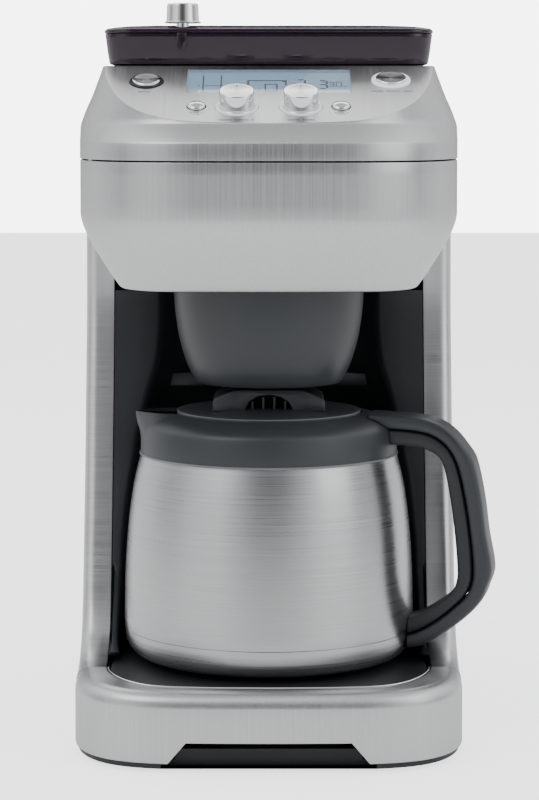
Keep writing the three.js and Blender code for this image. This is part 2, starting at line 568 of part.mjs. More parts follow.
function buildHopper() {
  const { half, floor, rim } = hopperSize;
  const outer = loft([raised(hopperOutline(half, 0), floor), raised(hopperOutline(half, 2.2), rim)]);
  const inner = loft([raised(hopperOutline(half, -2.4), floor + 2.4), raised(hopperOutline(half, -0.1),
      rim + 2)]);
  const neck = cylinder(25, 374, floor + 1, burrAxis, 28);
  const neckBore = cylinder(22.6, 370, 400, burrAxis, 28);
  const post = cylinder(8, floor + 1, rim - 3, hopperKnobAt, 24);
  const postBore = cylinder(4.2, floor + 3, 420, hopperKnobAt, 20);
  piece('hopper_shell', cut(join(cut(outer, inner), neck, post), neckBore, postBore), smokyPlastic);

  const lidLevels = [[2.6, rim + 0.5], [2.4, rim + 2], [0.5, rim + 3], [-12, rim + 4.4], [-34, rim + 5.6]];
  const dome = loft(lidLevels.map(([grow, z]) => raised(roundedBox(-half - grow, half + grow,
    hopperSize.front - grow * 0.8, hopperSize.back + grow * 0.8, Math.max(14 + grow, 9)), z)));
  const lip = loft([raised(hopperOutline(half, -1.4), rim - 4), raised(hopperOutline(half, -0.6),
      rim + 1)]);
  const underside = loft([raised(hopperOutline(half, -4), rim - 6), raised(hopperOutline(half, -4),
      rim + 1.6)]);
  const stemHole = cylinder(4.2, 380, 420, hopperKnobAt, 20);
  const postRoom = cylinder(9, rim - 8, rim - 0.5, hopperKnobAt, 24);
  piece('hopper_lid', cut(join(dome, lip), underside, stemHole, postRoom), smokyPlastic);

  const knobFoot = rim + 6.2;
  piece('hopper_knob', turned([[0, floor + 4], [3.6, floor + 4], [3.6, knobFoot], [10.4, knobFoot],
      [10.4, knobFoot + 0.8],
    [9.3, knobFoot + 1], [8.9, 414.8], [8, 416], [0, 416]], hopperKnobAt, 32), chrome);
}

// ---------------------------------------------------------------- thermal jug
const jugProfile = [[82.4, 61.4], [82.7, 68], [82.3, 90], [81.2, 110], [79.2, 130], [76.6, 146],
    [73.2, 159.4]];
const jugBaseProfile = [[0, 44], [66, 44], [75.6, 46.2], [80.4, 51], [82, 56.5], [82.4, 61]];
const collarProfile = [[73.4, 159.8], [73.2, 166], [72.2, 173], [70.6, 176.6], [66, 179.6], [59, 182],
    [53.6, 183.2]];

function buildJug() {
  const jug = new THREE.Group();
  jug.position.set(...brewAxis, 0);
  machine.add(jug);
  const thin = 1.2;
  const innerSide = [...jugProfile].reverse().map(([r, z]) => [r - thin, z]);
  piece('jug_body', turned([...jugProfile, ...innerSide], [0, 0], 36), jugSteel, jug);
  const innerBase = [...jugBaseProfile].reverse().map(([r, z]) => [Math.max(r - thin, 0),
      Math.min(z + thin, 61)]);
  piece('jug_base', turned([...jugBaseProfile, ...innerBase.slice(1)], [0, 0], 36), jugSteel, jug);
  piece('jug_liner', turned([[0, 50], [66, 50], [75, 55], [77.5, 68], [77, 90], [75.8, 112],
      [73.2, 134], [70, 150],
    [66.5, 159], [58, 170], [50, 174], [49, 174], [57, 169], [65.3, 158], [68.8, 149], [72, 133],
        [74.6, 111],
    [75.8, 90], [76.3, 68], [74, 56], [65.4, 51.2], [0, 51.2]], [0, 0], 28), jugSteel, jug);

  const collarInner = [...collarProfile].reverse().map(([r, z]) => [Math.min(r - 2.4, 70), z - 1.6]);
  const collarShell = turned([...collarProfile, [53.6, 178],
      [53, 177], ...collarInner.slice(3), [71, 159.8]], [0, 0], 36);
  const spoutRing = (reach, halfWidth, z) => [[-52, -halfWidth], [-52, halfWidth], [-66, halfWidth],
    [-reach + 3, halfWidth * 0.55], [-reach, 0], [-reach + 3, -halfWidth * 0.55], [-66, -halfWidth]]
    .map(([x, y]) => [x, y, z]);
  const spout = loft([spoutRing(71, 11, 164), spoutRing(74.6, 14, 172), spoutRing(76.4, 16, 180)]);
  const channel = loft([spoutRing(71, 10, 171), spoutRing(74.4, 13.6, 184)]);
  const bore = turned([[0, 150], [69.6, 150], [69.6, 171], [62, 177], [53.2, 179.2], [53.2, 190],
      [0, 190]], [0, 0], 36);
  piece('jug_collar', cut(join(collarShell, spout), channel, bore), darkPlastic, jug);

  const envelope = turned([[0, 40], [82.9, 40], [83, 68], [82.7, 90], [81.6, 110], [79.6, 130],
      [77, 146], [73.8, 160],
    [73.6, 167], [72.6, 173.4], [71, 177.2], [66.2, 180.2], [59, 182.6], [53, 183.9], [53, 200],
        [0, 200]], [0, 0], 36);
  const outerSide = [[60, 184.4], [86, 183], [98, 180.4], [107, 175], [114, 167], [119.6, 158], [124, 138],
    [126.6, 118], [handleReach, 98], [127.4, 88], [124, 80], [116, 71], [104, 61.5], [91, 53.6], [80, 51]];
  const midSide = [[80, 58.8], [88, 61.4], [99, 68], [109.4, 76.8], [115, 82.6], [118.4, 90],
      [119, 98], [117.8, 114],
    [115, 134], [110.6, 154], [106, 164], [99, 170.6], [90, 174], [74, 175.4], [60, 175.4]];
  const innerSideHandle = [[60, 166.4], [84, 166], [94, 163.4], [101, 157.6], [105.2, 140],
      [108, 120], [109.8, 100],
    [109.6, 91], [106.6, 84], [100, 78.4], [90, 72], [80, 69]];
  const halfWidth = 12;
  const handle = new THREE.Group();
  handle.rotation.z = -handleTurn;
  jug.add(handle);
  const shell = frontways([...outerSide, ...midSide], -halfWidth, halfWidth);
  piece('jug_handle', cut(shell, envelope), darkPlastic, handle);
  const gripOuter = midSide.map(([x, z]) => [x === 60 || x === 80 ? x : x - 0.5,
      z + (z > 120 ? -0.4 : 0.5)]);
  const grip = frontways([...gripOuter.reverse(),
      ...[...innerSideHandle].reverse()], 1 - halfWidth, halfWidth - 1);
  piece('handle_grip', cut(grip, envelope), blackPlastic, handle);

  const lidDisc = turned([[0, 176], [49, 176], [49, 179.6], [52.6, 179.6], [52.6, 183.4], [50, 185],
      [30, 187.4], [0, 188]], [0, 0], 28);
  const wing = frontways([[-31.5, 186], [-31.5, 191], [-29, 193.6], [-20, 198], [20, 198],
      [29, 193.6], [31.5, 191], [31.5, 186],
    [14, 183], [-14, 183]], -28, 16);
  const arch = frontways([[-13, 170], [13, 170], [13, 187], [10.4, 191.4], [5.6, 194], [0, 194.8],
      [-5.6, 194], [-10.4, 191.4],
    [-13, 187]], -40, -14);
  const drain = cylinder(3, 170, 200, [0, 0], 16);
  const archOnly = arch.trimByPlane([0, 0, 1], 187);
  piece('jug_lid', cut(join(lidDisc, cut(wing, archOnly)), drain), darkPlastic, jug);
}

buildBase();
buildSidePanel('left');
buildSidePanel('right');
buildLiner();
buildRear();
buildHeadFrame();
buildDoor();
buildTopCover();
buildControls();
buildWaterSide();
buildGrinder();
buildHopper();
buildJug();

const extent = new THREE.Box3().setFromObject(machine);
machine.position.x = -(extent.min.x + extent.max.x) / 2;
export default machine;
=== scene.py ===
"""Looks for the drip coffee maker with a built-in grinder.

Shapes are written in millimetres in the machine's own frame: X = 0 is its middle plane, the control
panel faces -Y and the floor is z = 0. row_point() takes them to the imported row's frame in metres.
"""
import math

import bmesh
import bpy
from mathutils import Matrix, Vector


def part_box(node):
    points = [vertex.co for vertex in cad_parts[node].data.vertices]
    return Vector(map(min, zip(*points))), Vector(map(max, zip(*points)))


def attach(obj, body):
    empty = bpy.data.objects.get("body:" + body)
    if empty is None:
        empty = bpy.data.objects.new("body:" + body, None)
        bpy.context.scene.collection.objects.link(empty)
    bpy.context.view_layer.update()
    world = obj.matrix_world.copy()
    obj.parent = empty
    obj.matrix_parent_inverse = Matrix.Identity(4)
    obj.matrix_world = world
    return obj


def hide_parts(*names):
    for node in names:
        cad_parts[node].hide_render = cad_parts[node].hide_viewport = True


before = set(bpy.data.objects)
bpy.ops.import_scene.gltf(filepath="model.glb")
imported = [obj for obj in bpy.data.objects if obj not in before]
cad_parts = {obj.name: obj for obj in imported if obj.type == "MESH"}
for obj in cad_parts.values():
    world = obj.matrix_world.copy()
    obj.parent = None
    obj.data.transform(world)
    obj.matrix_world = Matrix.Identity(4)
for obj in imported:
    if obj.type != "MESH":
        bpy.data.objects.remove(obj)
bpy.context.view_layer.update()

# ------------------------------------------------------------------ sizes taken from the frame
MM = 0.001


def low(node):
    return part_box(node)[0] / MM


def high(node):
    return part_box(node)[1] / MM


MID_X = (low("side_panel_left").x + high("side_panel_right").x) / 2
BODY_HALF = high("side_panel_right").x - MID_X
FRONT = low("base_skirt").y
BACK = high("rear_cover").y
SKIRT_FOOT = low("base_skirt").z
DECK_TOP = high("base_skirt").z
SKIRT_BACK = high("base_skirt").y
STRIP_INNER = low("side_panel_right").x - MID_X
PANEL_END = high("side_panel_right").y
BOWL_BOTTOM = low("door_shell").z
HEAD_FRONT = low("door_shell").y
SEAM = low("head_top_cover").z
TOP_DECK = high("head_top_cover").z
BREW_Y = (low("jug_body").y + high("jug_body").y) / 2
BURR_Y = (low("cone_burr").y + high("cone_burr").y) / 2
JUG_TOP_Z = high("jug_body").z
JUG_SEAM_Z = low("jug_body").z
LID_TOP = high("hopper_lid").z
KNOB_TOP = high("hopper_knob").z
KNOB_X = (low("hopper_knob").x + high("hopper_knob").x) / 2 - MID_X
KNOB_Y = (low("hopper_knob").y + high("hopper_knob").y) / 2
GAP = 0.3
COLUMN_FRONT = -7.0
BAND_TOP = 337.0
DOOR_BACK = -43.7
HINGE = (102.0, -47.0)
PANEL_FRONT = (-140.0, 348.2)
PANEL_BACK = (-70.0, TOP_DECK)
SLOPE = math.atan2(PANEL_BACK[1] - PANEL_FRONT[1], PANEL_BACK[0] - PANEL_FRONT[0])
HANDLE_TURN = math.radians(-12)


def row_point(x, y, z):
    return Vector(((x + MID_X) * MM, y * MM, z * MM))


ROW = Matrix.Translation(row_point(0, 0, 0)) @ Matrix.Scale(MM, 4)
JUG_PLACE = Matrix.Translation(row_point(0, BREW_Y, 0))
PANEL_PLACE = Matrix.Translation(row_point(0, *PANEL_FRONT)) @ Matrix.Rotation(SLOPE, 4, "X")


# ------------------------------------------------------------------ curves
def smooth(points, steps=6):
    """A Catmull-Rom curve through the points, steps to a span, keeping both ends."""
    vectors = [Vector(p) for p in points]
    padded = [vectors[0] * 2 - vectors[1]] + vectors + [vectors[-1] * 2 - vectors[-2]]
    curve = []
    for a, b, c, d in zip(padded, padded[1:], padded[2:], padded[3:]):
        for i in range(steps):
            t = i / steps
            curve.append(0.5 * (2 * b + (c - a) * t + (2 * a - 5 * b + 4 * c - d) * t * t
                                + (3 * b - a - 3 * c + d) * t ** 3))
    curve.append(vectors[-1])
    return curve


def resample(points, count):
    """The same line with count points at equal distances."""
    vectors = [Vector(p) for p in points]
    lengths = [0.0]
    for a, b in zip(vectors, vectors[1:]):
        lengths.append(lengths[-1] + (b - a).length)
    result = []
    span = 0
    for i in range(count):
        target = lengths[-1] * i / (count - 1)
        while span < len(vectors) - 2 and lengths[span + 1] < target:
            span += 1
        share = (target - lengths[span]) / max(lengths[span + 1] - lengths[span], 1e-9)
        result.append(vectors[span].lerp(vectors[span + 1], share))
    return result


def inset(points, distance, closed=False):
    """2-D points moved to the left of their run. The distance may be a function of the point."""
    moved = []
    last = len(points) - 1
    for i, p in enumerate(points):
        before = points[i - 1] if i or closed else p
        after = points[(i + 1) % len(points)] if i < last or closed else p
        run = (after - before).normalized()
        d = distance(p) if callable(distance) else distance
        moved.append(Vector((p.x - run.y * d, p.y + run.x * d)))
    return moved


def mirrored(chain):
    """A chain from the front middle to the back right, made whole with its mirror image."""
    left = [Vector((-p.x, p.y)) for p in reversed(chain[1:])]
    return left + list(chain)


def rounded_box(x0, x1, y0, y1, radius, steps=10):
    points = []
    for turn, cx, cy in ((-1, x1 - radius, y0 + radius), (0, x1 - radius, y1 - radius),
                         (1, x0 + radius, y1 - radius), (2, x0 + radius, y0 + radius)):
        for i in range(steps + 1):
            angle = (turn + i / steps) * math.pi / 2
            points.append(Vector((cx + radius * math.cos(angle), cy + radius * math.sin(angle))))
    return points


def at_height(points, z):
    return [(p[0], p[1], z) for p in points]


def both_sides(half):
    """An outline from its left end to its right end, given from the middle to the right."""
    return [(-x, other) for x, other in reversed(half) if x] + half


def corners(x0, x1, y0, y1):
    return [Vector(c) for c in ((x0, y0), (x1, y0), (x1, y1), (x0, y1))]


# ------------------------------------------------------------------ mesh builders
def weld(mesh, distance):
    """Joins points closer than a distance in metres and turns all faces outwards."""
    edit = bmesh.new()
    edit.from_mesh(mesh)
    bmesh.ops.remove_doubles(edit, verts=edit.verts, dist=distance)
    bmesh.ops.recalc_face_normals(edit, faces=edit.faces)
    edit.to_mesh(mesh)
    edit.free()


def add_object(name, verts, faces, place=None):
    """A mesh object. Its points are in millimetres; place holds its own frame if it has one."""
    mesh = bpy.data.meshes.new(name)
    if place is None:
        points = [ROW @ Vector(v) for v in verts]
    else:
        points = [Vector(v) * MM for v in verts]
    mesh.from_pydata(points, [], faces)
    mesh.validate()
    obj = bpy.data.objects.new(name, mesh)
    bpy.context.scene.collection.objects.link(obj)
    if place is not None:
        obj.matrix_world = place
    weld(mesh, 1e-6)
    return obj


def grid_faces(rows, columns, wrap=False):
    faces = []
    for r in range(rows - 1):
        for c in range(columns if wrap else columns - 1):
            a = r * columns + c
            b = r * columns + (c + 1) % columns
            faces.append((a, b, b + columns, a + columns))
    return faces


def sheet(name, rows, place=None):
    verts = [v for row in rows for v in row]
    return add_object(name, verts, grid_faces(len(rows), len(rows[0])), place=place)


def skin(name, rings, caps=(True, True), place=None):
    count = len(rings[0])
    verts = [v for ring in rings for v in ring]
    faces = grid_faces(len(rings), count, wrap=True)
    if caps[0]:
        faces.append(tuple(range(count))[::-1])
    if caps[1]:
        start = (len(rings) - 1) * count
        faces.append(tuple(range(start, start + count)))
    return add_object(name, verts, faces, place=place)


def lathe(name, profile, at=(0, 0), segments=96, place=None, bulge=None):
    """A profile of (radius, height) turned about a vertical axis. bulge(angle, r, z) may move a point."""
    verts = []
    for r, z in profile:
        for i in range(segments):
            angle = 2 * math.pi * i / segments
            radius, height = bulge(angle, r, z) if bulge else (r, z)
            verts.append((at[0] + radius * math.cos(angle), at[1] + radius * math.sin(angle), height))
    faces = grid_faces(len(profile), segments, wrap=True)
    return add_object(name, verts, faces, place=place)


def prism(name, outline, z0, z1, place=None):
    """A plan outline raised from z0 to z1."""
    return skin(name, [at_height(outline, z0), at_height(outline, z1)], place=place)


def frontways(name, outline, y0, y1, place=None):
    """A front outline of (x, z) points drawn out from y0 to y1."""
    return skin(name, [[(x, y, z) for x, z in outline] for y in (y0, y1)], place=place)


def rail(name, stations, place=None):
    """A bar with a rounded-rectangle section. Each station is (corner a, corner b, half width in Y)."""
    rings = []
    for a, b, half in stations:
        a = Vector(a)
        b = Vector(b)
        mid = (a + b) / 2
        reach = (b - a) / 2
        ring = []
        for i in range(28):
            angle = 2 * math.pi * i / 28
            c = math.copysign(abs(math.cos(angle)) ** 0.42, math.cos(angle))
            s = math.copysign(abs(math.sin(angle)) ** 0.42, math.sin(angle))
            p = mid + reach * c
            ring.append((p.x, half * s, p.y))
        rings.append(ring)
    return skin(name, rings, place=place)


def joined(name, *objects):
    """Several mesh objects made into one."""
    mesh = bmesh.new()
    base = objects[0].matrix_world.inverted()
    for obj in objects:
        part = obj.data.copy()
        part.transform(base @ obj.matrix_world)
        mesh.from_mesh(part)
        bpy.data.meshes.remove(part)
    mesh.to_mesh(objects[0].data)
    mesh.free()
    for obj in objects[1:]:
        bpy.data.objects.remove(obj)
    objects[0].name = name
    return objects[0]


def apply_modifiers(obj):
    bpy.context.view_layer.update()
    graph = bpy.context.evaluated_depsgraph_get()
    mesh = bpy.data.meshes.new_from_object(obj.evaluated_get(graph))
    obj.modifiers.clear()
    obj.data = mesh
    return obj


def solidify(obj, thickness, offset=-1.0):
    modifier = obj.modifiers.new("wall", "SOLIDIFY")
    modifier.thickness = thickness * MM
    modifier.offset = offset
    modifier.use_even_offset = False
    return obj


def boolean(obj, *tools):
    """Cuts the tools out of the piece and deletes them."""
    for tool in tools:
        modifier = obj.modifiers.new("cut", "BOOLEAN")
        modifier.operation = "DIFFERENCE"
        modifier.solver = "EXACT"
        modifier.object = tool
    apply_modifiers(obj)
    for tool in tools:
        bpy.data.objects.remove(tool)
    return obj


def bevel(obj, width, segments=3, angle=35):
    modifier = obj.modifiers.new("edge", "BEVEL")
    modifier.width = width * MM
    modifier.segments = segments
    modifier.limit_method = "ANGLE"
    modifier.angle_limit = math.radians(angle)
    modifier.harden_normals = True
    return obj


def shade(obj, angle=40):
    for polygon in obj.data.polygons:
        polygon.use_smooth = True
    obj.data.set_sharp_from_angle(angle=math.radians(angle))
    return obj


def finish_piece(obj, look, body, *replaced, angle=40):
    """Shades and dresses a piece, hangs it on the empty of the body it rides on and hides the CAD nodes it
    replaces.
    """
    shade(obj, angle)
    obj.data.materials.clear()
    obj.data.materials.append(look)
    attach(obj, body)
    if replaced:
        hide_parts(*replaced)
    return obj


# ------------------------------------------------------------------ materials
class Look:
    """A material with short calls for the nodes it is made of."""

    def __init__(self, name, color, roughness=0.5, metallic=0.0):
        self.material = bpy.data.materials.new(name)
        self.material.use_nodes = True
        self.tree = self.material.node_tree
        self.shader = self.tree.nodes["Principled BSDF"]
        self.set("Base Color", (*color, 1))
        self.set("Roughness", roughness)
        self.set("Metallic", metallic)

    def set(self, socket, value):
        self.shader.inputs[socket].default_value = value

    def node(self, kind, **settings):
        node = self.tree.nodes.new("ShaderNode" + kind)
        for key, value in settings.items():
            setattr(node, key, value)
        return node

    def link(self, source, target):
        self.tree.links.new(source, target)

    def stretched_noise(self, scale, detail=3.0, rough=0.6):
        """Noise with its own scale along each axis of the object."""
        coords = self.node("TexCoord")
        mapping = self.node("Mapping")
        mapping.inputs["Scale"].default_value = scale
        self.link(coords.outputs["Object"], mapping.inputs["Vector"])
        noise = self.node("TexNoise")
        for socket, value in (("Scale", 1.0), ("Detail", detail), ("Roughness", rough)):
            noise.inputs[socket].default_value = value
        self.link(mapping.outputs["Vector"], noise.inputs["Vector"])
        return noise.outputs["Fac"]

    def vary(self, source, low, high, start=0.3, end=0.7):
        """A number that follows the source between two limits."""
        span = self.node("MapRange")
        for socket, value in (("From Min", start), ("From Max", end), ("To Min", low), ("To Max", high)):
            span.inputs[socket].default_value = value
        self.link(source, span.inputs["Value"])
        return span.outputs["Result"]

    def tint(self, source, dark, light, start=0.3, end=0.7):
        ramp = self.node("ValToRGB")
        for element, place, color in zip(ramp.color_ramp.elements, (start, end), (dark, light)):
            element.position = place
            element.color = (*color, 1)
        self.link(source, ramp.inputs["Fac"])
        self.link(ramp.outputs["Color"], self.shader.inputs["Base Color"])

    def stretch_highlights(self, amount, rotation):
        self.set("Anisotropic", amount)
        self.set("Anisotropic Rotation", rotation)
        tangent = self.node("Tangent", direction_type="RADIAL", axis="Z")
        self.link(tangent.outputs["Tangent"], self.shader.inputs["Tangent"])

    def bump(self, source, strength, distance):
        bump = self.node("Bump")
        bump.inputs["Strength"].default_value = strength
        bump.inputs["Distance"].default_value = distance
        self.link(source, bump.inputs["Height"])
        self.link(bump.outputs["Normal"], self.shader.inputs["Normal"])


def scaled(color, factor):
    return tuple(c * factor for c in color)


def brushed_metal(name, color, roughness, grain, rotation, anisotropic=0.6, contrast=0.1):
    """Metal with long fine scratches. grain is the noise scale along x, y and z."""
    look = Look(name, color, roughness, 1.0)
    fine = look.stretched_noise(grain, 4.0, 0.7)
    look.tint(fine, scaled(color, 1 - contrast), scaled(color, 1 + contrast * 0.6))
    look.link(look.vary(fine, roughness - 0.06, roughness + 0.09), look.shader.inputs["Roughness"])
    look.bump(fine, 0.12, 0.00006)
    look.stretch_highlights(anisotropic, rotation)
    return look.material


def moulded_plastic(name, color, roughness, grain=2600.0, strength=0.12):
    """Moulded plastic with a fine spark-eroded grain and slight unevenness."""
    look = Look(name, color, roughness, 0.0)
    broad = look.stretched_noise((18, 18, 18), 2.0)
    look.tint(broad, scaled(color, 0.9), scaled(color, 1.12))
    grain_noise = look.stretched_noise((grain, grain, grain), 2.0)
    look.link(look.vary(broad, roughness - 0.04, roughness + 0.05), look.shader.inputs["Roughness"])
    look.bump(grain_noise, strength, 0.0001)
    return look.material


def polished_metal(name, color, roughness=0.06):
    look = Look(name, color, roughness, 1.0)
    haze = look.stretched_noise((90, 90, 90), 3.0)
    look.link(look.vary(haze, roughness * 0.7, roughness * 1.5), look.shader.inputs["Roughness"])
    look.bump(haze, 0.02, 0.00002)
    return look.material


def spun_metal(name, color, roughness):
    """Turned caps: fine rings about the piece's own axis."""
    look = Look(name, color, roughness, 1.0)
    coords = look.node("TexCoord")
    rings = look.node("TexWave", wave_type="RINGS", rings_direction="Z")
    rings.inputs["Scale"].default_value = 900.0
    rings.inputs["Distortion"].default_value = 1.5
    look.link(coords.outputs["Object"], rings.inputs["Vector"])
    look.link(look.vary(rings.outputs["Fac"], roughness - 0.05, roughness + 0.08, 0, 1),
              look.shader.inputs["Roughness"])
    look.bump(rings.outputs["Fac"], 0.1, 0.00004)
    look.stretch_highlights(0.85, 0.25)
    return look.material


def clear_plastic(name, color, roughness, transmission):
    look = Look(name, color, roughness, 0.0)
    smears = look.stretched_noise((40, 40, 15), 3.0)
    look.link(look.vary(smears, roughness, roughness + 0.05), look.shader.inputs["Roughness"])
    look.set("Transmission Weight", transmission)
    look.set("IOR", 1.49)
    return look.material


def glowing(name, color, strength, roughness=0.3):
    look = Look(name, color, roughness)
    cloud = look.stretched_noise((12, 12, 12), 1.0)
    look.tint(cloud, scaled(color, 0.95), color)
    look.set("Emission Color", (*color, 1))
    look.set("Emission Strength", strength)
    return look.material


STEEL_COLOR = (0.60, 0.605, 0.615)
steel_upright = brushed_metal("steel_upright", STEEL_COLOR, 0.34, (1500, 1500, 9), 0.0)
steel_level = brushed_metal("steel_level", STEEL_COLOR, 0.34, (9, 9, 1500), 0.25)
steel_panel = brushed_metal("steel_panel", STEEL_COLOR, 0.36, (1500, 14, 14), 0.0, contrast=0.07)
jug_steel = brushed_metal("jug_steel", (0.53, 0.535, 0.545), 0.30, (9, 9, 1700), 0.25, 0.65, 0.12)
liner_steel = brushed_metal("liner_steel", (0.62, 0.62, 0.62), 0.25, (9, 9, 1200), 0.25)
chrome = polished_metal("chrome", (0.86, 0.865, 0.875))
spun_cap = spun_metal("spun_cap", (0.74, 0.745, 0.755), 0.22)
dark_plastic = moulded_plastic("dark_plastic", (0.030, 0.035, 0.039), 0.40)
niche_plastic = moulded_plastic("niche_plastic", (0.020, 0.024, 0.027), 0.46)
# Light grey plastic for thin lines along rounded edges: these lines are painted highlights where the edges
# catch the light.
highlight_plastic = moulded_plastic("highlight_plastic", (0.16, 0.17, 0.18), 0.3, strength=0.03)
black_plastic = moulded_plastic("black_plastic", (0.012, 0.013, 0.015), 0.45)
grip_plastic = moulded_plastic("grip_plastic", (0.018, 0.021, 0.024), 0.5, grain=1800)
smoky = clear_plastic("smoky", (0.050, 0.026, 0.052), 0.05, 0.6)
clear = clear_plastic("clear", (0.86, 0.9, 0.93), 0.04, 0.9)
white_plastic = glowing("white_ring", (0.93, 0.95, 0.98), 0.55)
dial_white = glowing("dial_white", (0.92, 0.93, 0.95), 0.25)
lcd_blue = glowing("lcd_blue", (0.36, 0.57, 0.78), 0.55, 0.2)
# A lighter blue for a wedge across the display: a painted reflection on the glass.
lcd_reflection = glowing("lcd_reflection", (0.50, 0.68, 0.85), 0.55, 0.2)
lcd_ink = moulded_plastic("lcd_ink", (0.015, 0.05, 0.10), 0.4, strength=0.02)
print_ink = moulded_plastic("print_ink", (0.03, 0.03, 0.035), 0.5, strength=0.02)
rubber = moulded_plastic("rubber", (0.02, 0.02, 0.021), 0.8, grain=900, strength=0.3)
silicone = moulded_plastic("silicone", (0.62, 0.58, 0.52), 0.45)
board_green = moulded_plastic("board_green", (0.03, 0.13, 0.06), 0.35, grain=400, strength=0.2)
cast_aluminium = moulded_plastic("cast_aluminium", (0.45, 0.45, 0.46), 0.45, grain=1500, strength=0.3)
zinc = brushed_metal("zinc", (0.45, 0.46, 0.47), 0.38, (600, 600, 600), 0.0, 0.0)
mesh_metal = brushed_metal("mesh_metal", (0.55, 0.50, 0.38), 0.35, (1600, 1600, 1600), 0.0, 0.0)

# ------------------------------------------------------------------ camera, light and floor
FOCAL = 3.125            # focal length in picture heights
HORIZON = 0.14375        # the horizon's distance from the picture's top, in picture heights
CAMERA_Y = -1482.0
CAMERA_Z = 352.5
PITCH = math.radians(2.5)
SENSOR = 36.0


def add_camera():
    data = bpy.data.cameras.new("camera")
    data.sensor_fit = "VERTICAL"
    data.sensor_height = SENSOR
    data.lens = FOCAL * SENSOR
    drop = 0.5 - HORIZON - FOCAL * math.tan(PITCH)
    data.shift_y = -drop
    data.clip_end = 20
    camera = bpy.data.objects.new("camera", data)
    bpy.context.scene.collection.objects.link(camera)
    camera.location = row_point(0.4, CAMERA_Y, CAMERA_Z)
    camera.rotation_euler = (math.pi / 2 - PITCH, 0, 0)
    bpy.context.scene.camera = camera


def add_area(name, place, target, size, power):
    data = bpy.data.lights.new(name, "AREA")
    data.shape = "RECTANGLE"
    data.size, data.size_y = size
    data.energy = power
    light = bpy.data.objects.new(name, data)
    bpy.context.scene.collection.objects.link(light)
    light.location = place
    light.rotation_euler = (Vector(target) - Vector(place)).to_track_quat("-Z", "Y").to_euler()


def add_world():
    """A pale studio: two tall bright walls at the sides, a bright ceiling and a greyer front."""
    world = bpy.data.worlds.new("studio")
    bpy.context.scene.world = world
    world.use_nodes = True
    tree = world.node_tree
    link = tree.links.new
    background = tree.nodes["Background"]
    background.inputs["Strength"].default_value = 0.9

    def node(kind):
        return tree.nodes.new("ShaderNode" + kind)

    split = node("SeparateXYZ")
    link(node("TexCoord").outputs["Generated"], split.inputs["Vector"])
    side = node("Math")
    side.operation = "ABSOLUTE"
    link(split.outputs["X"], side.inputs[0])
    ramp = node("ValToRGB")
    stops = ((0.0, 0.10), (0.2, 0.16), (0.42, 0.55), (0.66, 1.25), (0.9, 1.1), (1.0, 0.5))
    while len(ramp.color_ramp.elements) < len(stops):
        ramp.color_ramp.elements.new(0.5)
    for element, (position, value) in zip(ramp.color_ramp.elements, stops):
        element.position = position
        element.color = (value, value, value * 1.01, 1)
    ramp.color_ramp.interpolation = "EASE"
    link(side.outputs[0], ramp.inputs["Fac"])
    ceiling = node("MapRange")
    ceiling.interpolation_type = "SMOOTHSTEP"
    for socket, value in (("From Min", 0.35), ("From Max", 0.85), ("To Max", 0.55)):
        ceiling.inputs[socket].default_value = value
    link(split.outputs["Z"], ceiling.inputs["Value"])
    total = node("Mix")
    total.data_type = "RGBA"
    total.blend_type = "ADD"
    total.inputs["Factor"].default_value = 1.0
    link(ramp.outputs["Color"], total.inputs[6])
    link(ceiling.outputs["Result"], total.inputs[7])
    white = node("Mix")
    white.data_type = "RGBA"
    white.inputs[7].default_value = (7.0, 7.0, 7.0, 1)
    link(node("LightPath").outputs["Is Camera Ray"], white.inputs["Factor"])
    link(total.outputs[2], white.inputs[6])
    link(white.outputs[2], background.inputs["Color"])


def add_floor():
    look = Look("floor_white", (0.93, 0.93, 0.93), 0.6)
    soft = look.stretched_noise((3, 3, 3), 2.0)
    look.tint(soft, (0.92, 0.92, 0.92), (0.94, 0.94, 0.94))
    look.set("Emission Color", (1, 1, 1, 1))
    seen = look.node("LightPath")
    look.link(look.vary(seen.outputs["Is Camera Ray"], 0.25, 1.9, 0, 1),
              look.shader.inputs["Emission Strength"])
    half = 6000
    floor = add_object("floor", at_height(corners(-half, half, -half, half), 0), [(0, 1, 2, 3)])
    floor.data.materials.append(look.material)


add_camera()
add_world()
add_area("key", row_point(-900, -900, 1500), row_point(0, 0, 200), (0.9, 0.9), 6)
add_area("fill", row_point(1100, -700, 900), row_point(0, 0, 200), (0.7, 1.2), 3)
add_area("back", row_point(0, 900, 1300), row_point(0, 0, 250), (1.4, 0.6), 6)
add_floor()

# ------------------------------------------------------------------ base
BASE_PLAN = [(0, FRONT), (30, -158.6), (57, -156.8), (74, -153), (87, -146.5), (97, -136.5), (104, -123),
             (107.3, -108), (BODY_HALF, SKIRT_BACK)]
TRAY_PLAN = [(0, -146), (35, -144.8), (62, -140.5), (75, -131), (84, -117), (89, -103),
             (90.3, SKIRT_BACK)]
ROUNDING = 9.0


def quarter(radius, steps=7):
    """(inwards, down) pairs of a rounded edge, from its side to its top."""
    angles = [i / steps * math.pi / 2 for i in range(steps + 1)]
    return [(radius * (1 - math.cos(a)), radius * (1 - math.sin(a))) for a in angles]


def row(chain, distance, z, count=121):
    """One level of a wrap: the mirrored chain moved inwards, kept to its own back edge."""
    whole = inset(mirrored(resample(chain, count // 2 + 1)), distance)
    whole[0].y = whole[-1].y = chain[-1].y
    return at_height(whole, z)


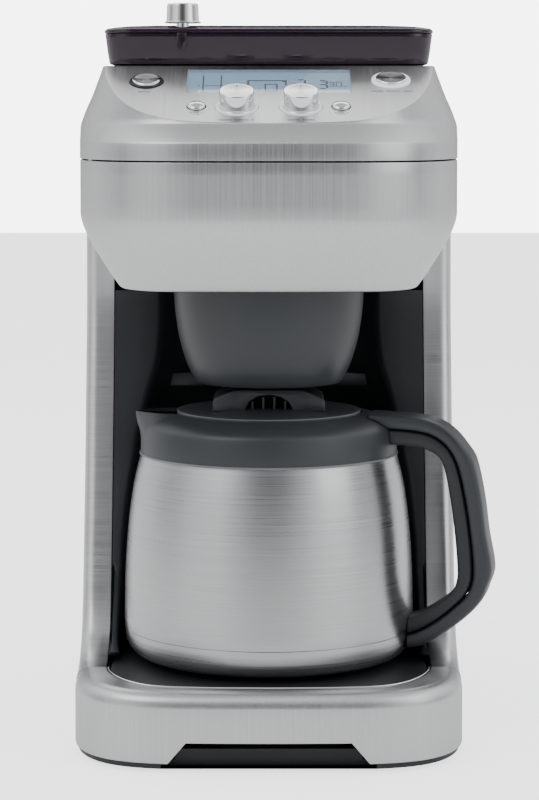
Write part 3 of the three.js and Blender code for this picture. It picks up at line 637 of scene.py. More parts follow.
def make_base():
    plan = smooth(BASE_PLAN, 8)
    tray = smooth(TRAY_PLAN, 8)
    rows = [row(plan, 0.5, SKIRT_FOOT), row(plan, 0.12, SKIRT_FOOT + 0.3), row(plan, 0, SKIRT_FOOT + 0.9),
            row(plan, 0, 20)]
    rows += [row(plan, inwards, DECK_TOP - down) for inwards, down in quarter(ROUNDING)]
    rows += [row(tray, -1.0, DECK_TOP), row(tray, -0.5, DECK_TOP - 0.4), row(tray, -0.4, DECK_TOP - 3)]
    skirt = solidify(sheet("skirt_steel", rows), 1.6, -1.0)
    apply_modifiers(skirt)
    mouth = frontways("mouth", [(-57, 2), (57, 2), (44.5, 16.6), (-44.5, 16.6)], FRONT - 6, -140)
    boolean(skirt, mouth)
    bevel(skirt, 0.5, 2)
    finish_piece(skirt, steel_upright, "housing", "base_skirt")

    foot_plan = smooth(BASE_PLAN, 6) + [Vector((BODY_HALF, 130))]
    levels = [(2.4, 1.8), (1.7, 2.4), (1.5, SKIRT_FOOT - GAP)]
    whole = [inset(mirrored(resample(foot_plan, 90)), d) for d, _ in levels]
    rear_corners = [Vector((104, 155.5)), Vector((-104, 155.5))]
    rings = [at_height(ring + rear_corners, z) for ring, (_, z) in zip(whole, levels)]
    plate = skin("foot_band", rings)
    notch = frontways("notch", corners(-58, 58, 0, 7), -166, -146.6)
    boolean(plate, notch)
    bar = frontways("bar", [(-52, 1.8), (52, 1.8), (49, 11), (-49, 11)], -146.9, -141)
    plate = bevel(joined("foot_band", plate, bevel(bar, 1)), 0.5, 2)
    finish_piece(plate, black_plastic, "housing", "base_plate")

    for side, x in (("left", -88), ("right", 88)):
        for end, y in (("front", -122), ("rear", 136)):
            profile = [(0, 0), (7.6, 0), (8.6, 0.25), (9, 0.8), (9, 1.5), (0, 1.5)]
            foot = lathe(f"pad_{end}_{side}", profile, (x, y), 48)
            finish_piece(foot, rubber, "housing", f"foot_{end}_{side}")

    floor_top = high("jug_tray").z
    tray_back = [Vector((90.3, -60)), Vector((88, -20)), Vector((60, 14)), Vector((20, 31))]
    outline = inset(mirrored(resample(tray + smooth(tray_back, 6), 110)), 1.7)
    rings = [at_height(outline, floor_top - 1.8)]
    rings += [at_height(inset(outline, d, True), floor_top - down) for d, down in quarter(0.7, 4)]
    pad = skin("tray_pad", rings)
    finish_piece(pad, black_plastic, "housing", "jug_tray")

    rim_top = high("tray_rim").z
    section = [(1.2, rim_top - 3.2), (1.2, rim_top - 0.3), (0.9, rim_top), (0.4, rim_top),
               (0.1, rim_top - 0.3), (0.1, rim_top - 3.2), (1.2, rim_top - 3.2)]
    rim = sheet("tray_trim", [row(tray, d, z) for d, z in section])
    finish_piece(rim, chrome, "housing", "tray_rim")


# ------------------------------------------------------------------ column
COLUMN_CURVE = [(SKIRT_BACK + GAP, 43.2), (-86, 43.7), (-78, 45.2), (-68, 49), (-58, 56), (-50, 68),
                (-44, 84), (-38, 106), (-30, 134), (-23, 162), (-15, 202), (COLUMN_FRONT - 1.2, 236),
                (COLUMN_FRONT, 262), (COLUMN_FRONT, SEAM - GAP)]


def column_front(z):
    """How far forward the column stands at a height."""
    for (y0, z0), (y1, z1) in zip(FINE_COLUMN, FINE_COLUMN[1:]):
        if z0 <= z <= z1:
            return y0 + (y1 - y0) * (z - z0) / max(z1 - z0, 1e-6)
    return COLUMN_FRONT


FINE_COLUMN = [tuple(p) for p in smooth(COLUMN_CURVE, 8)]


def make_side_panel(side):
    sign = 1 if side == "right" else -1
    curve = [Vector(p) for p in FINE_COLUMN]
    radius = 7.0
    sections = [(STRIP_INNER, 3.0), (STRIP_INNER, 0.7), (STRIP_INNER + 0.25, 0.2), (STRIP_INNER + 0.8, 0)]
    sections += [(BODY_HALF - down, inwards) for inwards, down in quarter(radius, 9)]
    rows = []
    for x, d in sections:
        edge = inset(curve, -d)
        edge[-1].y = curve[-1].y
        rows.append([(sign * x, SKIRT_BACK + GAP, SKIRT_FOOT)] + [(sign * x, p.x, p.y) for p in edge])
    wrap = sheet("wrap", rows)
    outer = [(sign * BODY_HALF, y, z) for _, y, z in rows[-1]]
    outer += [(sign * BODY_HALF, PANEL_END, SEAM - GAP), (sign * BODY_HALF, PANEL_END, SKIRT_FOOT)]
    face = add_object("face", outer, [tuple(range(len(outer)))])
    panel = joined(f"side_steel_{side}", wrap, face)
    weld(panel.data, 1e-5)
    outward = max(panel.data.polygons, key=lambda f: f.area).normal.x * sign
    apply_modifiers(solidify(panel, 1.2, -1.0 if outward > 0 else 1.0))
    bevel(panel, 0.25, 2, 50)
    finish_piece(panel, steel_level, "housing", f"side_panel_{side}")


RECESS = [(DECK_TOP + 0.2, 88.4), (90, 88.5), (120, 88.5), (146, 87.3), (176, 83.8), (196, 81),
          (208, 79.2), (222, 79.4), (247, 81)]
LINER_TOP = high("niche_liner").z
LINER_LOW = low("niche_liner").z


def recess_radius(z):
    for a, b in zip(FINE_RECESS, FINE_RECESS[1:]):
        if a.x <= z <= b.x:
            return a.y + (b.y - a.y) * (z - a.x) / (b.x - a.x)
    return RECESS[-1][1]


FINE_RECESS = smooth(RECESS, 8)


def opening_edge(z):
    """Where the jug's recess meets the front of the liner."""
    front = column_front(z) + 0.8
    radius = recess_radius(z)
    return math.sqrt(max(radius ** 2 - (front - BREW_Y) ** 2, 1)), front


def make_liner():
    rows = []
    lip = 1.6
    levels = 72
    for level in range(levels):
        z = LINER_LOW + (LINER_TOP - LINER_LOW) * level / (levels - 1)
        half, front = opening_edge(z)
        radius = recess_radius(z)
        start = math.atan2(front - BREW_Y, half)
        right = [(STRIP_INNER - GAP, front), (STRIP_INNER - 1.2, front),
                 ((STRIP_INNER + half) / 2 + 0.6, front), (half + lip, front),
                 (half + lip * 0.45, front + lip * 0.12), (half + lip * 0.12, front + lip * 0.5)]
        turn = lip * 1.2 / radius
        arc = [start + turn + (math.pi - 2 * (start + turn)) * i / 96 for i in range(97)]
        middle = [(radius * math.cos(a), BREW_Y + radius * math.sin(a)) for a in arc]
        left = [(-x, y) for x, y in reversed(right)]
        rows.append([(x, y, z) for x, y in right + middle + left])
    liner = solidify(sheet("niche_wall", rows), 2.0, 1.0)
    apply_modifiers(liner)
    ledge_low = 191.5
    plan = both_sides([(15.5, -17), (17.5, -15.5), (22.5, -3), (25, -1), (60.5, -1)])
    plan += [(60.5, 12), (30, 25), (-30, 25), (-60.5, 12)]
    ledge = bevel(prism("ledge", plan, ledge_low, ledge_low + 8), 0.9, 3)
    apply_modifiers(ledge)
    liner = joined("niche_wall", liner, ledge)
    finish_piece(liner, niche_plastic, "housing", "niche_liner", angle=50)

    # Thin light tubes along both edges of the jug's opening: a painted highlight where the rounded edge
    # catches the light.
    circle = [2 * math.pi * i / 12 for i in range(12)]
    for sign, side in ((-1, "left"), (1, "right")):
        rings = []
        for level in range(60):
            z = LINER_LOW + 6 + (LINER_TOP - LINER_LOW - 8) * level / 59
            half, front = opening_edge(z)
            mid = Vector((sign * (half + 0.5), front + 0.1, z))
            rings.append([(mid.x + 0.62 * math.cos(a), mid.y + 0.62 * math.sin(a), mid.z) for a in circle])
        highlight_line = skin(f"niche_highlight_line_{side}", rings)
        finish_piece(highlight_line, highlight_plastic, "housing")


def make_rear():
    outline = rounded_box(-BODY_HALF + 0.5, BODY_HALF - 0.5, 120, BACK, 14)
    outline = [p for p in outline if p.y > PANEL_END]
    half = BODY_HALF - 0.5
    ends = [Vector((x, PANEL_END + GAP)) for x in (half, -half)]
    outline = resample([ends[0]] + outline + [ends[1]], 90)
    rows = [at_height(inset(outline, 1.0), SKIRT_FOOT), at_height(outline, SKIRT_FOOT + 1)]
    rows += [at_height(outline, SEAM - GAP - 1), at_height(inset(outline, 1.0), SEAM - GAP)]
    shell = apply_modifiers(solidify(sheet("rear_shell", rows), 2.5, -1.0))
    slots = [frontways("slot", corners(-34, 34, z, z + 2.6), 140, 170) for z in range(262, 316, 6)]
    inlet = lathe("inlet", [(0, -20), (9, -20), (9, 20), (0, 20)], segments=48)
    lie_down = Matrix.Rotation(math.pi / 2, 4, "X")
    inlet.data.transform(Matrix.Translation(row_point(-70, BACK, 30)) @ lie_down
                         @ Matrix.Translation(-row_point(0, 0, 0)))
    boolean(shell, inlet, *slots)
    bevel(shell, 0.4, 2)
    finish_piece(shell, dark_plastic, "housing", "rear_cover")


# ------------------------------------------------------------------ brew head
HEAD_PLAN = [(0, HEAD_FRONT), (26, -149.3), (50, -147), (67, -141), (80, -132), (91, -117), (98, -100),
             (103.5, -82), (106.6, -64), (BODY_HALF, HINGE[1])]
BOWL_PLAN = [(0, -132), (24, -131), (44, -129), (58, -126), (67, -120), (74, -112), (79, -103),
             (82.5, -90), (84.3, -75), (85.5, -58)]
BOWL_SHARE = [(BOWL_BOTTOM, 0), (263, 0.22), (270, 0.43), (277, 0.64), (284, 0.82), (290, 0.935),
              (294, 0.985), (297, 1.0)]


def head_chain(share, y_back):
    """Right half of the head's outline at a share between bowl (0) and band (1), out to a back edge."""
    points = [(bx + (hx - bx) * share, by + (hy - by) * share) for (bx, by),
              (hx, hy) in zip(BOWL_PLAN, HEAD_PLAN)]
    points.append((STRIP_INNER + (BODY_HALF - STRIP_INNER) * share, COLUMN_FRONT))
    fine = [Vector((min(p.x, BODY_HALF), p.y)) for p in smooth(points, 8)]
    kept = [p for p in fine if p.y < y_back - 0.05]
    beyond = fine[len(kept)]
    last = kept[-1]
    kept.append(last.lerp(beyond, (y_back - last.y) / (beyond.y - last.y)))
    return kept


def make_door():
    top = high("door_shell").z
    count = 161
    levels = [(BOWL_BOTTOM, 0, 1.6), (BOWL_BOTTOM, 0, 0.6), (BOWL_BOTTOM + 0.4, 0, 0.1),
              (BOWL_BOTTOM + 1.2, 0.03, 0)]
    levels += [(z, share, 0) for z, share in BOWL_SHARE[1:]]
    levels += [(z, 1, 0) for z in (304, 312, 320, top - 0.8)]
    levels += [(top - 0.2, 1, 0.2), (top, 1, 0.8), (top, 1, 1.6)]
    rows = []
    for z, share, d in levels:
        chain = resample(head_chain(share, DOOR_BACK), count // 2 + 1)
        whole = inset(mirrored(chain), d)
        whole[0].y = whole[-1].y = DOOR_BACK
        for p in whole:
            if p.x > HINGE[0] - 8:
                p.y = min(p.y, HINGE[1] - GAP)
        rows.append(at_height(whole, z))
    shell = apply_modifiers(solidify(sheet("door_steel", rows), 1.6, -1.0))
    knuckle = lathe("knuckle", [(0, 298), (5, 298), (5.9, 298.6), (5.9, top - 0.6), (5, top), (0, top)],
                    HINGE, 48)
    door = joined("door_steel", shell, knuckle)
    bevel(door, 0.25, 2, 50)
    finish_piece(door, steel_upright, "brew_door", "door_shell")


def make_filter_holder():
    plan = inset(mirrored(resample(head_chain(0, DOOR_BACK), 80)), 1.9)
    floor_rings = [at_height(plan, z) for z in (BOWL_BOTTOM + 0.4, BOWL_BOTTOM + 2.6)]
    floor = skin("holder_floor", floor_rings)
    hole = lathe("cup_hole", [(0, 240), (53.6, 240), (53.6, 270), (0, 270)], (0, BREW_Y))
    boolean(floor, hole)
    outer = smooth([(41.2, 200.5), (43, 203), (47.2, 212), (51, 225), (53.4, 240), (54.4, 254)], 5)
    inner = smooth([(52.2, 255), (51.2, 241), (48.6, 226), (45, 213), (40.5, 204)], 5)
    rim = [(54.4, 299.5), (54, 300), (52.6, 300), (52.2, 299.5)]
    profile = [(7.5, 200.5), (40.2, 200.5), *outer, *rim, *inner, (39, 203.4), (7.5, 203), (7.5, 200.5)]
    cup = lathe("holder_cup", profile, (0, BREW_Y), 160)
    finish_piece(joined("holder_cup", cup, floor), dark_plastic, "brew_door", "filter_holder")


def make_head_sides():
    """The fixed steel sides between the door and the column, and the dark frame inside them."""
    levels = [(BOWL_BOTTOM, 0), (BOWL_BOTTOM + 1.2, 0.03)] + BOWL_SHARE[1:] + [(SEAM - GAP, 1)]
    for sign, side in ((-1, "left"), (1, "right")):
        rows = []
        for z, share in levels:
            chain = head_chain(share, COLUMN_FRONT - GAP)
            clear = DOOR_BACK + GAP
            if sign > 0:
                reach = BODY_HALF - HINGE[0]
                offset = head_chain(share, DOOR_BACK)[-1].x - HINGE[0]
                if abs(offset) < 7.6 and offset > -1:
                    clear = HINGE[1] + math.sqrt(7.6 ** 2 - min(abs(offset), reach) ** 2)
            part = [p for p in chain if p.y > clear]
            part = resample([Vector((part[0].x, clear))] + part, 14)
            rows.append([(sign * p.x, p.y, z) for p in part])
        wall = sheet(f"head_side_{side}", rows)
        outward = sum(f.normal.x * f.area for f in wall.data.polygons) * sign
        apply_modifiers(solidify(wall, 1.6, -1.0 if outward > 0 else 1.0))
        finish_piece(wall, steel_upright, "housing", "head_frame")

    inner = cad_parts["head_frame"].copy()
    inner.data = inner.data.copy()
    inner.name = "head_inner_frame"
    for key in list(inner.keys()):
        del inner[key]
    inner.parent = None
    bpy.context.scene.collection.objects.link(inner)
    centre = row_point(0, -20, 290)
    for vertex in inner.data.vertices:
        if vertex.co.y < -0.0074:
            vertex.co.x = centre.x + (vertex.co.x - centre.x) * 0.972
            vertex.co.z = max(vertex.co.z, (BOWL_BOTTOM + 0.5) * MM)
    finish_piece(inner, dark_plastic, "housing", "head_frame", angle=25)


make_base()
make_side_panel("left")
make_side_panel("right")
make_liner()
make_rear()
make_door()
make_filter_holder()
make_head_sides()

# ------------------------------------------------------------------ top cover
COVER_LEVELS = [(SEAM, 0, 0), (BAND_TOP, 0, 0), (338, 0.5, 0), (346, 8, 0.4), (347.4, 9.3, 0.7),
                (348.2, 10, 0.9), (351, 10.6, 1.9), (354, 11.2, 3), (358, 11.8, 4.7), (362, 12.4, 6.6),
                (366.5, 12.8, 8.4), (371, 13.2, 10), (375.6, 13.6, 11.8), (TOP_DECK, 14, 13.4)]
LCD = {"half": 45.2, "low": 40.0, "high": 71.5}
START = {"at": (68, 57), "ring": 10.8, "cap": 8.6}
OPEN = {"at": (-68, 55), "ring": 9.4, "cap": 7.9}
SMALL = {"x": 39.4, "y": 21.5, "cap": 5.0}
DIAL = {"x": 17.4, "y": 21.0, "ring": 11.8, "cap": 9.4, "height": 9.8}


def cover_block(name, wall):
    chain = [Vector((min(p.x, BODY_HALF), p.y)) for p in
             smooth(HEAD_PLAN + [(BODY_HALF, 20), (BODY_HALF, 90), (BODY_HALF, 136), (106.6, 146),
                                 (102, 153), (96, 157), (88, BACK)], 8)]
    chain = resample(chain, 150)
    shrink_x = 1 - wall / BODY_HALF
    shrink_y = 1 - wall / BACK
    rings = []
    for z, front_lean, side_lean in COVER_LEVELS:
        def lean(p, front_lean=front_lean, side_lean=side_lean):
            share = min(max((-p.y - 60) / 82, 0), 1)
            share = share * share * (3 - 2 * share)
            return front_lean * share + side_lean * (1 - share)

        right = inset(chain, lean)
        right[0] = Vector((0, right[1].y))
        right = [Vector((p.x * shrink_x, min(p.y, BACK - side_lean) * shrink_y)) for p in right]
        left = [Vector((-p.x, p.y)) for p in reversed(right[1:])]
        rings.append(at_height(right + left, z))
    block = skin(name, rings)
    drop = wall * 1.1
    rise = math.tan(SLOPE)
    side = [(-220, PANEL_FRONT[1] - drop - rise * 80), (PANEL_FRONT[0], PANEL_FRONT[1] - drop),
            (PANEL_BACK[0], TOP_DECK - drop), (20, TOP_DECK - drop + rise * 90), (20, 480), (-220, 480)]
    wedge = skin(name + "_above", [[(x, y, z) for y, z in side] for x in (-200, 200)])
    cuts = [wedge]
    if wall:
        cuts.append(prism(name + "_deck", corners(-200, 200, -80, 200), TOP_DECK - wall, 480))
    boolean(block, *cuts)
    return block


def panel_spot(x, y, z=0.0):
    return PANEL_PLACE @ Matrix.Translation((x * MM, y * MM, z * MM))


def drill(radius, x, y):
    return lathe("drill", [(0, -9), (radius, -9), (radius, 9), (0, 9)], segments=96,
                 place=panel_spot(x, y))


def make_cover():
    cover = cover_block("cover_steel", 0)
    hollow = cover_block("cover_hollow", 2.4)
    hollow.location.z -= 0.02 * MM
    holes = [hollow, drill(START["ring"] + GAP, *START["at"]), drill(OPEN["ring"] + GAP, *OPEN["at"])]
    for side in (-1, 1):
        holes.append(drill(DIAL["ring"] + GAP, side * DIAL["x"], DIAL["y"]))
        holes.append(drill(SMALL["cap"] + 0.5, side * SMALL["x"], SMALL["y"]))
    window = rounded_box(-LCD["half"] - GAP, LCD["half"] + GAP, LCD["low"] - GAP, LCD["high"] + GAP, 1.2,
                         4)
    holes.append(prism("window", window, -9, 9, place=PANEL_PLACE))
    holes.append(lathe("burr_hole", [(0, 360), (27, 360), (27, 400), (0, 400)], (0, BURR_Y)))
    holes.append(prism("tank_hole", rounded_box(-82, 82, 74, 142, 10), 360, 400))
    boolean(cover, *holes)
    bevel(cover, 0.45, 3, 30)
    up_slope = Vector((0, -math.sin(SLOPE), math.cos(SLOPE)))
    finish_piece(cover, steel_upright, "housing", "head_top_cover", angle=30)
    cover.data.materials.append(steel_panel)
    for polygon in cover.data.polygons:
        if polygon.normal.dot(up_slope) > 0.995 or polygon.normal.z > 0.995:
            polygon.material_index = 1


# ------------------------------------------------------------------ controls
def turned_on_panel(name, profile, x, y, look, body, *replaced):
    return finish_piece(lathe(name, profile, place=panel_spot(x, y)), look, body, *replaced, angle=30)


def ring_profile(inner, outer, top=0.7):
    return [(inner, -2.4), (outer, -2.4), (outer, top - 0.35), (outer - 0.12, top - 0.1),
            (outer - 0.4, top), (inner + 0.3, top), (inner + 0.1, top - 0.1), (inner, top - 0.3),
            (inner, -2.4)]


def press_profile(cap, rise, dish):
    """A flat-topped key with a rounded edge and a shallow dished face."""
    return [(0, -8), (2.5, -8), (2.5, -4), (cap, -4), (cap, rise - 0.9), (cap - 0.15, rise - 0.35),
            (cap - 0.5, rise - 0.05), (cap - 0.9, rise), (cap - 1.4, rise - 0.1),
            (cap * 0.5, rise - dish * 0.8), (0, rise - dish)]


def dome_profile(cap, rise, dome):
    angles = [i / 12 * math.pi / 2 for i in range(13)]
    curve = [(cap * math.cos(a), rise + dome * math.sin(a)) for a in angles]
    return [(0, -8), (2.5, -8), (2.5, -4), (cap, -4)] + curve


def reach(obj, polygon):
    """How far the farthest corner of a face is from the piece's own axis, in millimetres."""
    return max(obj.data.vertices[v].co.xy.length for v in polygon.vertices) / MM


def two_looks(obj, look, test):
    """Gives the faces that pass the test a second material."""
    obj.data.materials.append(look)
    for polygon in obj.data.polygons:
        if test(polygon):
            polygon.material_index = 1


def flat_marks(name, boxes, z0, z1, look):
    """Thin raised marks on the panel from (x0, x1, y0, y1) boxes."""
    marks = [prism(name, corners(*box), z0, z1, place=PANEL_PLACE) for box in boxes]
    return finish_piece(joined(name, *marks), look, "housing")


def strokes(path, width):
    """Boxes along level and upright strokes between the points of a path."""
    boxes = []
    w = width / 2
    for (x0, y0), (x1, y1) in zip(path, path[1:]):
        boxes.append((min(x0, x1) - w, max(x0, x1) + w, min(y0, y1) - w, max(y0, y1) + w))
    return boxes


SEGMENTS = {"a": ((0, 2), (1, 2)), "b": ((1, 1), (1, 2)), "c": ((1, 0), (1, 1)), "d": ((0, 0), (1, 0)),
            "e": ((0, 0), (0, 1)), "f": ((0, 1), (0, 2)), "g": ((0, 1), (1, 1))}
LIT = {0: "abcdef", 3: "abgcd", 7: "abc"}


def digit(number, x, y, width, height, stroke):
    boxes = []
    cut = stroke * 0.62
    for name in LIT[number]:
        (x0, y0), (x1, y1) = SEGMENTS[name]
        ends = [(x + x0 * width, y + y0 * height / 2), (x + x1 * width, y + y1 * height / 2)]
        w = stroke / 2
        if y0 == y1:
            boxes.append((ends[0][0] + cut, ends[1][0] - cut, ends[0][1] - w, ends[0][1] + w))
        else:
            boxes.append((ends[0][0] - w, ends[0][0] + w, ends[0][1] + cut, ends[1][1] - cut))
    return boxes


def dashes(x, y, width, step=1.35, length=0.95, height=1.1):
    """A row of short strokes where the machine carries a printed label."""
    count = int(width / step)
    start = x - (count - 1) * step / 2
    return [(start + i * step - length / 2, start + i * step + length / 2, y - height / 2, y + height / 2)
            for i in range(count) if i % 7 != 5]


def make_lcd():
    half, y0, y1 = LCD["half"], LCD["low"], LCD["high"]
    pane = prism("lcd_glass", rounded_box(-half, half, y0, y1, 1.0, 4), -1.1, -0.2, place=PANEL_PLACE)
    bevel(pane, 0.15, 2)
    finish_piece(pane, clear, "housing", "lcd_window")
    back = prism("lcd_back", rounded_box(-half - 1.5, half + 1.5, y0 - 1.5, y1 + 1.5, 1.5, 4), -6.5, -2.7,
                 place=PANEL_PLACE)
    finish_piece(back, lcd_blue, "housing", "lcd_panel")
    # A lighter wedge over the right of the display, behind the glass: a painted reflection.
    wedge = [(23.5, y1), (half, y1), (half, y0), (6.5, y0), (9, y0 + 6)]
    reflection_patch = prism("lcd_reflection_patch", wedge, -2.7, -2.66, place=PANEL_PLACE)
    finish_piece(reflection_patch, lcd_reflection, "housing")
    ink = strokes([(-36.5, y1 - 4), (-36.5, y0 + 4), (-26.5, y0 + 4), (-26.5, y1 - 4)], 0.9)
    ink += strokes([(-36.5, y0 + 14), (-26.5, y0 + 14)], 0.6)
    ink += [(-39.6, -38.4, y0 + 13, y0 + 14.4)]
    ink += strokes([(-11.5, y0 + 12), (-11.5, y0 + 21), (8, y0 + 21), (9.5, y0 + 19.6)], 1.1)
    ink += strokes([(-2, y0 + 16), (4.5, y0 + 16), (4.5, y0 + 6), (-2, y0 + 6), (-2, y0 + 16)], 0.9)
    ink += strokes([(9.5, y0 + 19.6), (9.5, y0 + 15)], 1.1)
    ink += digit(3, 27.8, y0 + 10, 4.6, 11, 1.2)
    for number, x in ((7, 27.5), (3, 31.8), (0, 36.1)):
        ink += digit(number, x + 1.5, y0 + 12.5, 2.9, 6.4, 0.75)
    ink += dashes(-31.5, y0 + 1.8, 8, 1.1, 0.7, 0.8) + dashes(42.6, y0 + 13, 3.2, 1.1, 0.7, 0.8)
    ink += digit(3, 15.6, y0 + 10, 4.6, 12, 1.2)
    flat_marks("lcd_marks", ink, -2.66, -2.55, lcd_ink)


def make_controls():
    turned_on_panel("start_light", ring_profile(START["cap"] + GAP, START["ring"]), *START["at"],
                    white_plastic, "housing", "start_ring")
    turned_on_panel("open_surround", ring_profile(OPEN["cap"] + GAP, OPEN["ring"]), *OPEN["at"],
                    black_plastic, "housing", "open_ring")
    for spec, name in ((START, "start_button"), (OPEN, "open_button")):
        key = turned_on_panel(name + "_cap", press_profile(spec["cap"], 1.9, 0.5), *spec["at"], spun_cap,
                              name, name)
        top = spec["cap"] - 0.6
        two_looks(key, chrome, lambda p: reach(key, p) > top)
    for side, sign in (("left", -1), ("right", 1)):
        turned_on_panel(f"small_dome_{side}", dome_profile(SMALL["cap"], 0.4, 2.0), sign * SMALL["x"],
                        SMALL["y"], chrome, f"small_button_{side}", f"small_button_{side}")
        x, y = sign * DIAL["x"], DIAL["y"]
        base = [(4, -2.4), (DIAL["ring"], -2.4), (DIAL["ring"], 0.3), (DIAL["ring"] - 0.3, 0.6),
                (DIAL["cap"] + 0.8, 0.6), (DIAL["cap"] + 0.5, 0.3), (DIAL["cap"] + 0.5, -1.4), (4, -1.4),
                (4, -2.4)]
        turned_on_panel(f"dial_base_{side}", base, x, y, dial_white, "housing", f"dial_ring_{side}")
        r, h = DIAL["cap"], DIAL["height"]
        knob = [(0, -8), (3, -8), (3, -1), (r, -1), (r, 0.1), (r - 0.25, 0.4), (r - 0.25, 1.0), (r, 1.3),
                (r, h - 0.7), (r - 0.12, h - 0.3), (r - 0.35, h - 0.08), (r - 0.7, h),
                (r - 1.1, h - 0.06), (0, h - 0.3)]
        dial = turned_on_panel(f"dial_{side}", knob, x, y, chrome, f"dial_knob_{side}",
                               f"dial_knob_{side}")
        two_looks(dial, spun_cap, lambda p: p.normal.z > 0.5 and reach(dial, p) < r - 0.9)
        notch = prism(f"dial_mark_{side}", corners(-0.4, 0.4, 5.4, 8.2), h - 0.32, h - 0.1,
                      place=panel_spot(x, y))
        finish_piece(notch, print_ink, f"dial_knob_{side}")
    print_marks = dashes(OPEN["at"][0], OPEN["at"][1] - 14, 9)
    print_marks += dashes(START["at"][0], START["at"][1] - 15, 24)
    print_marks += dashes(-DIAL["x"], 4, 20) + dashes(DIAL["x"], 4, 16)
    for side in (-1, 1):
        print_marks += dashes(side * SMALL["x"], SMALL["y"] - 8.2, 8, 1.1, 0.75, 0.8)
        print_marks += dashes(side * SMALL["x"], SMALL["y"] - 10, 6, 1.1, 0.75, 0.8)
    flat_marks("panel_print", print_marks, -0.02, 0.035, print_ink)


# ------------------------------------------------------------------ bean hopper
HOPPER = {"half": 91.0, "front": -67.0, "back": 66.0}
HOPPER_FLOOR = 381.0
HOPPER_RIM = 398.6


def hopper_ring(grow, z):
    return at_height(rounded_box(-HOPPER["half"] - grow, HOPPER["half"] + grow, HOPPER["front"] - grow,
                                 HOPPER["back"] + grow, max(14 + grow, 3), 12), z)


def ribbed(angle, r, z):
    """The post's outside has eight flat grooves."""
    groove = 0.35 if r > 5 and math.sin(8 * angle) > 0.2 else 0
    return r - groove, z


def make_hopper():
    outer = [(-1.6, HOPPER_FLOOR), (-0.5, HOPPER_FLOOR + 0.4), (0, HOPPER_FLOOR + 1.4), (0.9, 388),
             (1.9, 395.6), (2.2, HOPPER_RIM - 0.7), (2.1, HOPPER_RIM - 0.2), (1.8, HOPPER_RIM)]
    inner = [(0.4, HOPPER_RIM), (0.1, HOPPER_RIM - 0.3), (-0.4, 394), (-2.0, HOPPER_FLOOR + 4.4),
             (-2.6, HOPPER_FLOOR + 2.9), (-4.2, HOPPER_FLOOR + 2.4)]
    shell = skin("hopper_clear", [hopper_ring(g, z) for g, z in outer + inner])
    neck = lathe("hopper_neck", [(22.6, 374.2), (24.6, 374.2), (25, 374.6), (25, HOPPER_FLOOR + 0.6),
                                 (22.6, HOPPER_FLOOR + 0.6), (22.6, 374.2)], (0, BURR_Y))
    post = lathe("hopper_post", [(4.2, HOPPER_FLOOR + 2.4), (8, HOPPER_FLOOR + 2.4),
                                 (8, HOPPER_RIM - 3.6), (7.4, HOPPER_RIM - 3), (4.2, HOPPER_RIM - 3),
                                 (4.2, HOPPER_FLOOR + 2.4)],
                 (KNOB_X, KNOB_Y), bulge=ribbed)
    hole = lathe("neck_hole", [(0, 370), (22.6, 370), (22.6, 390), (0, 390)], (0, BURR_Y))
    boolean(shell, hole)
    funnel_rings = []
    for share, z in ((1.0, 396.4), (0.99, 395), (0.5, 388), (0.0, HOPPER_FLOOR + 2.6)):
        corner = rounded_box(-70, 67, -46, 60, 12, 11)
        ring = []
        for p in corner:
            angle = math.atan2(p.y - BURR_Y, p.x)
            q = Vector((24 * math.cos(angle), BURR_Y + 24 * math.sin(angle)))
            ring.append(q.lerp(p, share))
        funnel_rings.append(at_height(ring, z))
    funnel = solidify(skin("hopper_funnel", funnel_rings, caps=(False, False)), 1.4, 0)
    apply_modifiers(funnel)
    hopper = joined("hopper_clear", shell, neck, post, funnel)
    bevel(hopper, 0.2, 2, 50)
    finish_piece(hopper, smoky, "hopper", "hopper_shell")


def make_hopper_lid():
    lip = 394.6
    rows = [(-0.6, lip), (-0.4, lip), (-0.4, 398.9), (2.3, 398.95), (2.6, 399.2), (2.6, 400.2),
            (2.4, 400.7), (1.6, 401.3), (0.5, 401.7), (-4, 402.4), (-12, 403.1), (-24, 403.8),
            (-34, LID_TOP)]
    under = [(-34, LID_TOP - 1.8), (-12, 401.2), (-2, 399.9), (-1.9, lip)]
    lid = skin("hopper_top", [hopper_ring(g, z) for g, z in rows])
    hollow = skin("lid_hollow", [hopper_ring(g, z) for g, z in reversed(under)])
    hole = lathe("knob_hole", [(0, 390), (4.4, 390), (4.4, 410), (0, 410)], (KNOB_X, KNOB_Y))
    boolean(lid, hollow, hole)
    y = HOPPER["front"] - 3.0
    tongue_half = [(0, 389), (1.2, 389.3), (2.2, 390.2), (2.7, 391.6), (2.7, HOPPER_RIM + 0.3)]
    tongue_side = [(KNOB_X + x, z) for x, z in both_sides(tongue_half)]
    tongue = frontways("lid_tongue", tongue_side, y - 0.5, y + 0.5)
    bevel(tongue, 0.35, 3)
    apply_modifiers(tongue)
    lid = joined("hopper_top", lid, tongue)
    bevel(lid, 0.15, 2, 50)
    finish_piece(lid, smoky, "hopper_lid", "hopper_lid")

    place = Matrix.Translation(row_point(KNOB_X, KNOB_Y, 0))
    base = low("hopper_knob").z
    profile = [(0, base), (3.2, base), (3.6, base + 0.4), (3.6, LID_TOP + 0.5), (10, LID_TOP + 0.5),
               (10.4, LID_TOP + 0.7), (10.4, LID_TOP + 1.1), (10, LID_TOP + 1.4), (9.4, LID_TOP + 1.5),
               (9.3, LID_TOP + 2.2), (8.95, KNOB_TOP - 2.0), (8.9, KNOB_TOP - 1.2),
               (8.7, KNOB_TOP - 0.55), (8.3, KNOB_TOP - 0.2), (7.7, KNOB_TOP - 0.05), (7.0, KNOB_TOP),
               (6.4, KNOB_TOP - 0.15), (0, KNOB_TOP - 0.3)]
    knob = lathe("knob_metal", profile, place=place)
    finish_piece(knob, chrome, "hopper_knob", "hopper_knob", angle=30)
    two_looks(knob, spun_cap, lambda p: p.normal.z > 0.9 and p.center.z > (KNOB_TOP - 0.6) * MM)


make_cover()
make_lcd()
make_controls()
make_hopper()
make_hopper_lid()

